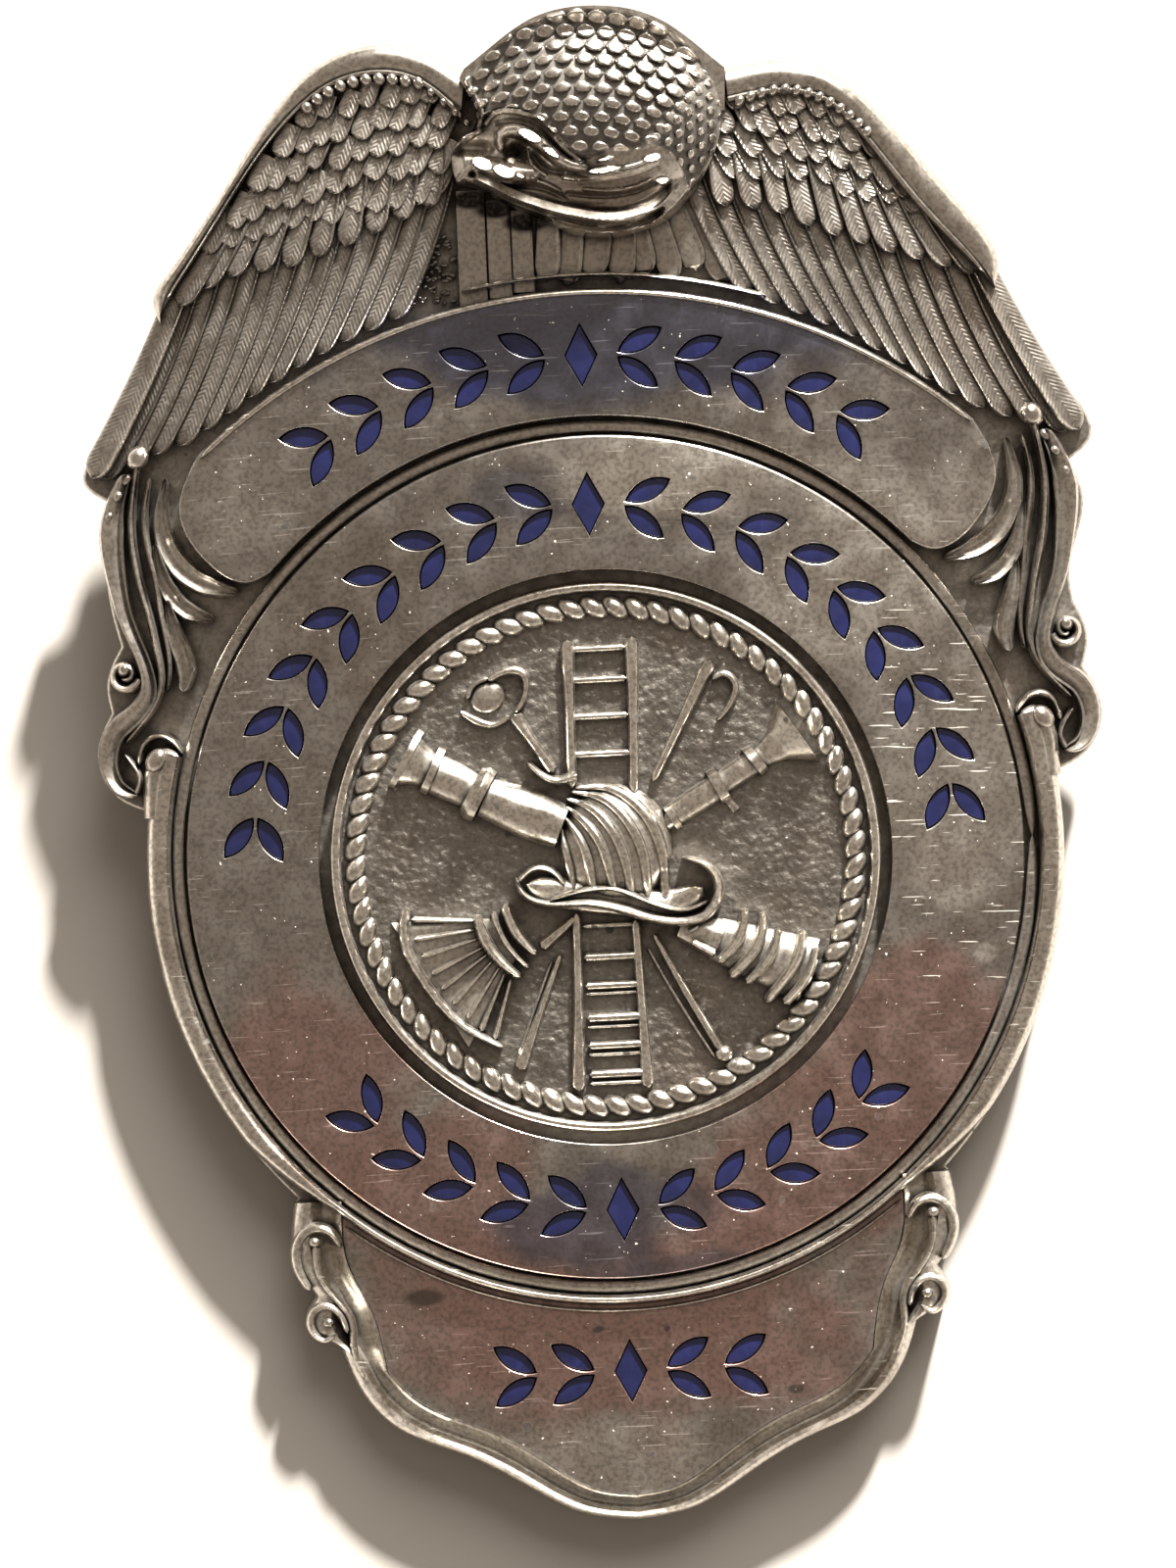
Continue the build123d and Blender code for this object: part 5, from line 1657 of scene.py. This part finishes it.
rung_rows = [
    # y, half width, height of the back
    (9.4, 0.15, 0.42), (8.0, 0.17, 0.45), (6.35, 0.16, 0.45), (4.65, 0.16, 0.45),
    (-3.1, 0.12, 0.38), (-4.5, 0.2, 0.5), (-5.8, 0.18, 0.46), (-6.15, 0.09, 0.32), (-7.25, 0.2, 0.48),
    (-7.65, 0.09, 0.34), (-8.5, 0.19, 0.48), (-8.9, 0.11, 0.36), (-9.8, 0.2, 0.48), (-10.2, 0.12, 0.38),
]
coupling_rings = [
    # places, half widths, height of the back
    ([(6.15, -2.6), (5.9, -3.8), (4.85, -5.0)], [0.2, 0.3, 0.24], 1.25),
    ([(7.0, -2.8), (6.75, -4.1), (5.35, -5.7)], [0.2, 0.3, 0.26], 1.3),
    ([(7.65, -3.6), (7.25, -4.75), (6.05, -6.0)], [0.2, 0.3, 0.22], 1.3),
    ([(8.7, -3.7), (8.5, -4.8), (7.7, -6.0), (6.9, -6.9)], [0.24, 0.34, 0.26, 0.22], 1.4),
    ([(9.3, -4.5), (8.85, -5.7), (7.7, -7.0)], [0.22, 0.28, 0.24], 1.3),
    ([(-5.95, -2.3), (-5.65, -3.35), (-5.0, -4.4), (-4.1, -5.25)], [0.2, 0.32, 0.26, 0.18], 1.0),
    ([(-4.65, -1.9), (-4.25, -3.1), (-3.35, -4.25)], [0.24, 0.3, 0.18], 1.0),
    ([(-5.2, -2.2), (-4.75, -3.5), (-3.7, -4.85)], [0.14, 0.18, 0.14], 0.85),
    ([(-9.1, -1.8), (-9.25, -3.1), (-8.45, -5.2), (-7.0, -7.1), (-5.05, -8.35)],
     [0.24, 0.26, 0.24, 0.2, 0.14], 0.85),
    ([(-3.3, 4.4), (-2.1, 3.55), (-1.1, 3.75)], [0.12, 0.2, 0.26], 0.8),
]
fan_ribs = [
    # start, end
    ((-6.0, -2.6), (-8.9, -2.4)), ((-6.0, -3.0), (-8.8, -3.3)), ((-5.9, -3.4), (-8.5, -4.1)),
    ((-5.7, -3.8), (-8.1, -4.9)), ((-5.5, -4.1), (-7.7, -5.6)), ((-5.3, -4.4), (-7.2, -6.3)),
    ((-5.0, -4.7), (-6.6, -7.0)), ((-4.8, -5.0), (-6.0, -7.6)), ((-4.55, -5.3), (-5.4, -8.0)),
]
print("turned forms:", len(turned_forms), "bars:", len(tool_bars))

# %% Helmet lines
helmet_centre, helmet_half_size, helmet_height = (0.5, 0.5), (2.55, 2.75), 1.25
helmet_ribs = [
    # places, half widths
    ([(-1.2, 3.15), (0.3, 3.05), (1.5, 2.25), (2.3, 1.0), (2.6, -0.4), (2.6, -2.0)],
     [0.14, 0.28, 0.3, 0.22]),
    ([(-1.4, 3.0), (0.1, 2.55), (1.1, 1.5), (1.65, 0.2), (1.8, -2.0)], [0.12, 0.26, 0.28, 0.22]),
    ([(-1.6, 2.7), (-0.4, 2.1), (0.45, 1.0), (0.9, -0.3), (1.05, -1.8)], [0.12, 0.26, 0.28, 0.2]),
    ([(-1.7, 2.35), (-0.85, 1.6), (-0.2, 0.6), (0.1, -0.4), (0.3, -1.6)], [0.12, 0.25, 0.26, 0.2]),
    ([(-1.8, 1.9), (-1.25, 1.1), (-0.85, 0.1), (-0.6, -1.5)], [0.12, 0.24, 0.25, 0.2]),
    ([(-1.95, 1.4), (-1.8, 0.5), (-1.6, -0.5), (-1.5, -1.6)], [0.1, 0.22, 0.22, 0.16]),
]
brim_lines = [
    # places, half widths, height of the back
    ([(-4.1, -0.7), (-3.9, -1.35), (-3.1, -1.9), (-1.2, -2.0), (0.6, -2.35), (2.0, -2.85), (3.3, -3.05),
      (4.4, -2.8), (5.0, -1.9), (4.9, -1.0), (4.3, -0.45), (3.45, -0.2)],
     [0.1, 0.16, 0.26, 0.26, 0.28, 0.24, 0.12], 1.35),
    ([(-2.6, -1.85), (-1.0, -1.45), (0.3, -1.45), (1.3, -1.85), (2.4, -2.35), (3.6, -2.55), (4.5, -2.2)],
     [0.12, 0.18, 0.16, 0.14, 0.1], 1.3),
    ([(-4.0, -0.95), (-3.2, -0.35), (-2.4, -0.55), (-1.9, -1.2)], [0.12, 0.16, 0.12], 0.8),
]
brim_floor = [(-3.6, -1.1), (-1.0, -1.75), (1.2, -2.1), (3.0, -2.35), (4.3, -1.6)]
print("helmet ribs:", len(helmet_ribs))

# %% Build the emblem
tool_step = 0.1


def on_seal(line, half, foot, crown):
    """Round-backed ribbon that stands on the seal."""
    return ribbon(line, half, round_section, foot, crown, emblem_root, round_across)


def tool_line(places, straight_steps):
    """Curve through a tool's places, or a straight run where there are only two."""
    return curve_through(places, tool_step) if len(places) > 2 else np.linspace(*places, straight_steps)


def turned(places, half_widths, crown_share):
    """Half of a lathe-turned form: its back is as high as it is wide, times a share."""
    line = tool_line(places, 14)
    half = spread(half_widths, len(line))
    return on_seal(line, half, seal_field - 0.05, crown_share * half)


def bar(places, half_widths, back):
    """Round-backed bar with soft ends."""
    line = tool_line(places, 24)
    half = spread(half_widths, len(line)) * rounded_ends(len(line), 0.05, 0.05)
    foot = seal_field + 0.3 * (back - seal_field)
    return on_seal(line, half, foot, back - foot)


def helmet_surface(x, y):
    """Height of the helmet's dome."""
    return helmet_height * np.sqrt(np.maximum(1 - oval_reach(x, y, helmet_centre, helmet_half_size), 0))


def helmet_rib(places, half_widths):
    """Rib that follows the helmet's dome."""
    line = curve_through(places, tool_step)
    half = spread(half_widths, len(line)) * rounded_ends(len(line), 0.04, 0.02)
    return on_seal(line, half, np.maximum(helmet_surface(*line.T), 0.35), 0.34)


emblem = [turned(*entry) for entry in turned_forms]
emblem += [bar(*entry) for entry in tool_bars + coupling_rings + brim_lines]
emblem += [bar([(-1.2, y), (1.35, y)], [half], back) for y, half, back in rung_rows]
emblem += [bar([start, end], [0.1, 0.16], 0.62) for start, end in fan_ribs]
emblem += [helmet_rib(*entry) for entry in helmet_ribs]
helmet_length, helmet_width = [2 * half for half in helmet_half_size]
emblem.append(bead(*helmet_centre, helmet_length, helmet_width, helmet_height, 0.05, rings=12, sides=48))
emblem.append(bead(4.9, -9.15, 0.85, 0.75, 0.45, 0.15, rings=5, sides=18))
emblem.append(bead(-4.95, 7.45, 1.7, 1.4, 0.3, 0.1, turn=30, rings=5, sides=20))
brim_line = curve_through(brim_floor, 0.15)
emblem.append(on_seal(brim_line, 0.75 * rounded_ends(len(brim_line), 0.2, 0.2), 0.2, 0.5))
fan_line = np.linspace((-4.6, -3.4), (-8.2, -5.4), 30)
fan_half = np.linspace(1.0, 3.3, len(fan_line))
emblem.append(ribbon(fan_line, fan_half, strip_section, 0.2, 0.2, emblem_root, round_across))
make_piece("emblem", emblem, emblem_metal, arched=False)

# %% [markdown]
# ## The clasp behind
# The pin clasp is plain steel and its CAD form is right as it is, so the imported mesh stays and
# only gets its finish.
# %% Finish the clasp
clasp = bpy.data.objects["pin_clasp"]
clasp.data.materials.clear()
clasp.data.materials.append(clasp_metal)
print("clasp faces:", len(clasp.data.polygons))

# %% [markdown]
# ## Floor, light and camera
# The badge lies on a pale, matt floor. Polished metal shows what is round it, so the sky matters
# as much as the lamp: dim and warm overhead, where the flat panels look, and a little brighter
# near the horizon, where every bevel looks. A soft round box of light hangs in the sky beyond the
# eagle, off the panels' view, and widens the light on every slope that faces it. One strong,
# soft-edged key lamp stands low on the same side. It draws the shadow, puts a crisp light on each
# ridge and makes the floor white. The plain view transform keeps that contrast, which a filmic
# curve would flatten.
# %% Floor
floor_mesh = bpy.data.meshes.new("floor")
floor_size = 1.2
corners = [(x * floor_size, y * floor_size, 0.0) for x, y in ((-1, -1), (1, -1), (1, 1), (-1, 1))]
floor_mesh.from_pydata(corners, [], [(0, 1, 2, 3)])
floor = bpy.data.objects.new("floor", floor_mesh)
bpy.context.scene.collection.objects.link(floor)
paper = bpy.data.materials.new("pale_floor")
paper.use_nodes = True
paper_shader = paper.node_tree.nodes["Principled BSDF"]
paper_tone = remap(paper.node_tree, object_noise(paper.node_tree, 60), 0.3, 0.7)
paper_colour = mix_colour(paper.node_tree, paper_tone, (0.45, 0.425, 0.395), (0.47, 0.445, 0.415))
link(paper.node_tree, paper_colour, paper_shader.inputs["Base Color"])
paper_shader.inputs["Roughness"].default_value = 0.85
floor_mesh.materials.append(paper)
print("floor is", 2 * floor_size, "m wide")

# %% Sky and key lamp
sky_dim, sky_bright = (0.30, 0.25, 0.205), (0.55, 0.49, 0.43)
world = bpy.data.worlds.new("studio")
bpy.context.scene.world = world
world.use_nodes = True
sky = world.node_tree
direction = node(sky, "ShaderNodeTexCoord").outputs["Generated"]
direction_parts = node(sky, "ShaderNodeSeparateXYZ")
link(sky, direction, direction_parts.inputs[0])
overhead = remap(sky, direction_parts.outputs["Z"], 0.05, 0.55)
sky_colour = mix_colour(sky, overhead, sky_bright, sky_dim)
box_way, box_radiance = (0.26, 0.70, 0.665), (5.0, 4.75, 4.35)
facing_box = node(sky, "ShaderNodeVectorMath", operation="DOT_PRODUCT")
link(sky, direction, facing_box.inputs[0])
facing_box.inputs[1].default_value = box_way
in_box = remap(sky, facing_box.outputs["Value"], cos(radians(24)), cos(radians(12)))
sky_colour = mix_colour(sky, in_box, sky_colour, box_radiance)
link(sky, sky_colour, sky.nodes["Background"].inputs["Color"])
sky.nodes["Background"].inputs["Strength"].default_value = 1.0
bpy.context.scene.view_settings.view_transform = "Standard"

camera_target = Vector(seated([(-0.63, 3.31, 0.5)])[0])
key_azimuth, key_elevation, key_distance = radians(18.5), radians(24.5), 1.2
key_way = Vector((
    sin(key_azimuth) * cos(key_elevation), cos(key_azimuth) * cos(key_elevation), sin(key_elevation),
))
key_lamp = bpy.data.lights.new("key", "AREA")
key_lamp.shape = "DISK"
key_lamp.size = 0.08
key_lamp.energy = 78.0
key_lamp.color = (1.0, 0.965, 0.91)
key = bpy.data.objects.new("key", key_lamp)
key.location = camera_target + key_way * key_distance
key.rotation_euler = key_way.to_track_quat("Z", "Y").to_euler()
bpy.context.scene.collection.objects.link(key)
print("key lamp at", [round(v, 3) for v in key.location])

# %% [markdown]
# ### Camera
# The photograph looks straight at the badge's face, from about thirty centimetres, with the badge
# turned a little in the frame. So the camera stands on the line square to the tilted face, and
# rolls by that small turn. The lens follows from how much of the badge's plane is in view.
# %% Camera
view_height = 0.0707
view_distance = 0.28
badge_roll = radians(2.83)
sensor_height = 24.0

face_normal = Vector((0, -sin(rest_tilt), cos(rest_tilt)))
badge_up = Vector((0, cos(rest_tilt), sin(rest_tilt)))
image_up = Vector((1, 0, 0)) * sin(badge_roll) + badge_up * cos(badge_roll)
image_right = image_up.cross(face_normal)
camera_data = bpy.data.cameras.new("camera")
camera_data.sensor_fit = "VERTICAL"
camera_data.sensor_height = sensor_height
camera_data.lens = sensor_height * view_distance / view_height
camera = bpy.data.objects.new("camera", camera_data)
turn = Matrix((image_right, image_up, face_normal)).transposed()
camera.matrix_world = Matrix.Translation(camera_target + face_normal * view_distance) @ turn.to_4x4()
bpy.context.scene.collection.objects.link(camera)
bpy.context.scene.camera = camera
print("lens", round(camera_data.lens, 1), "mm")
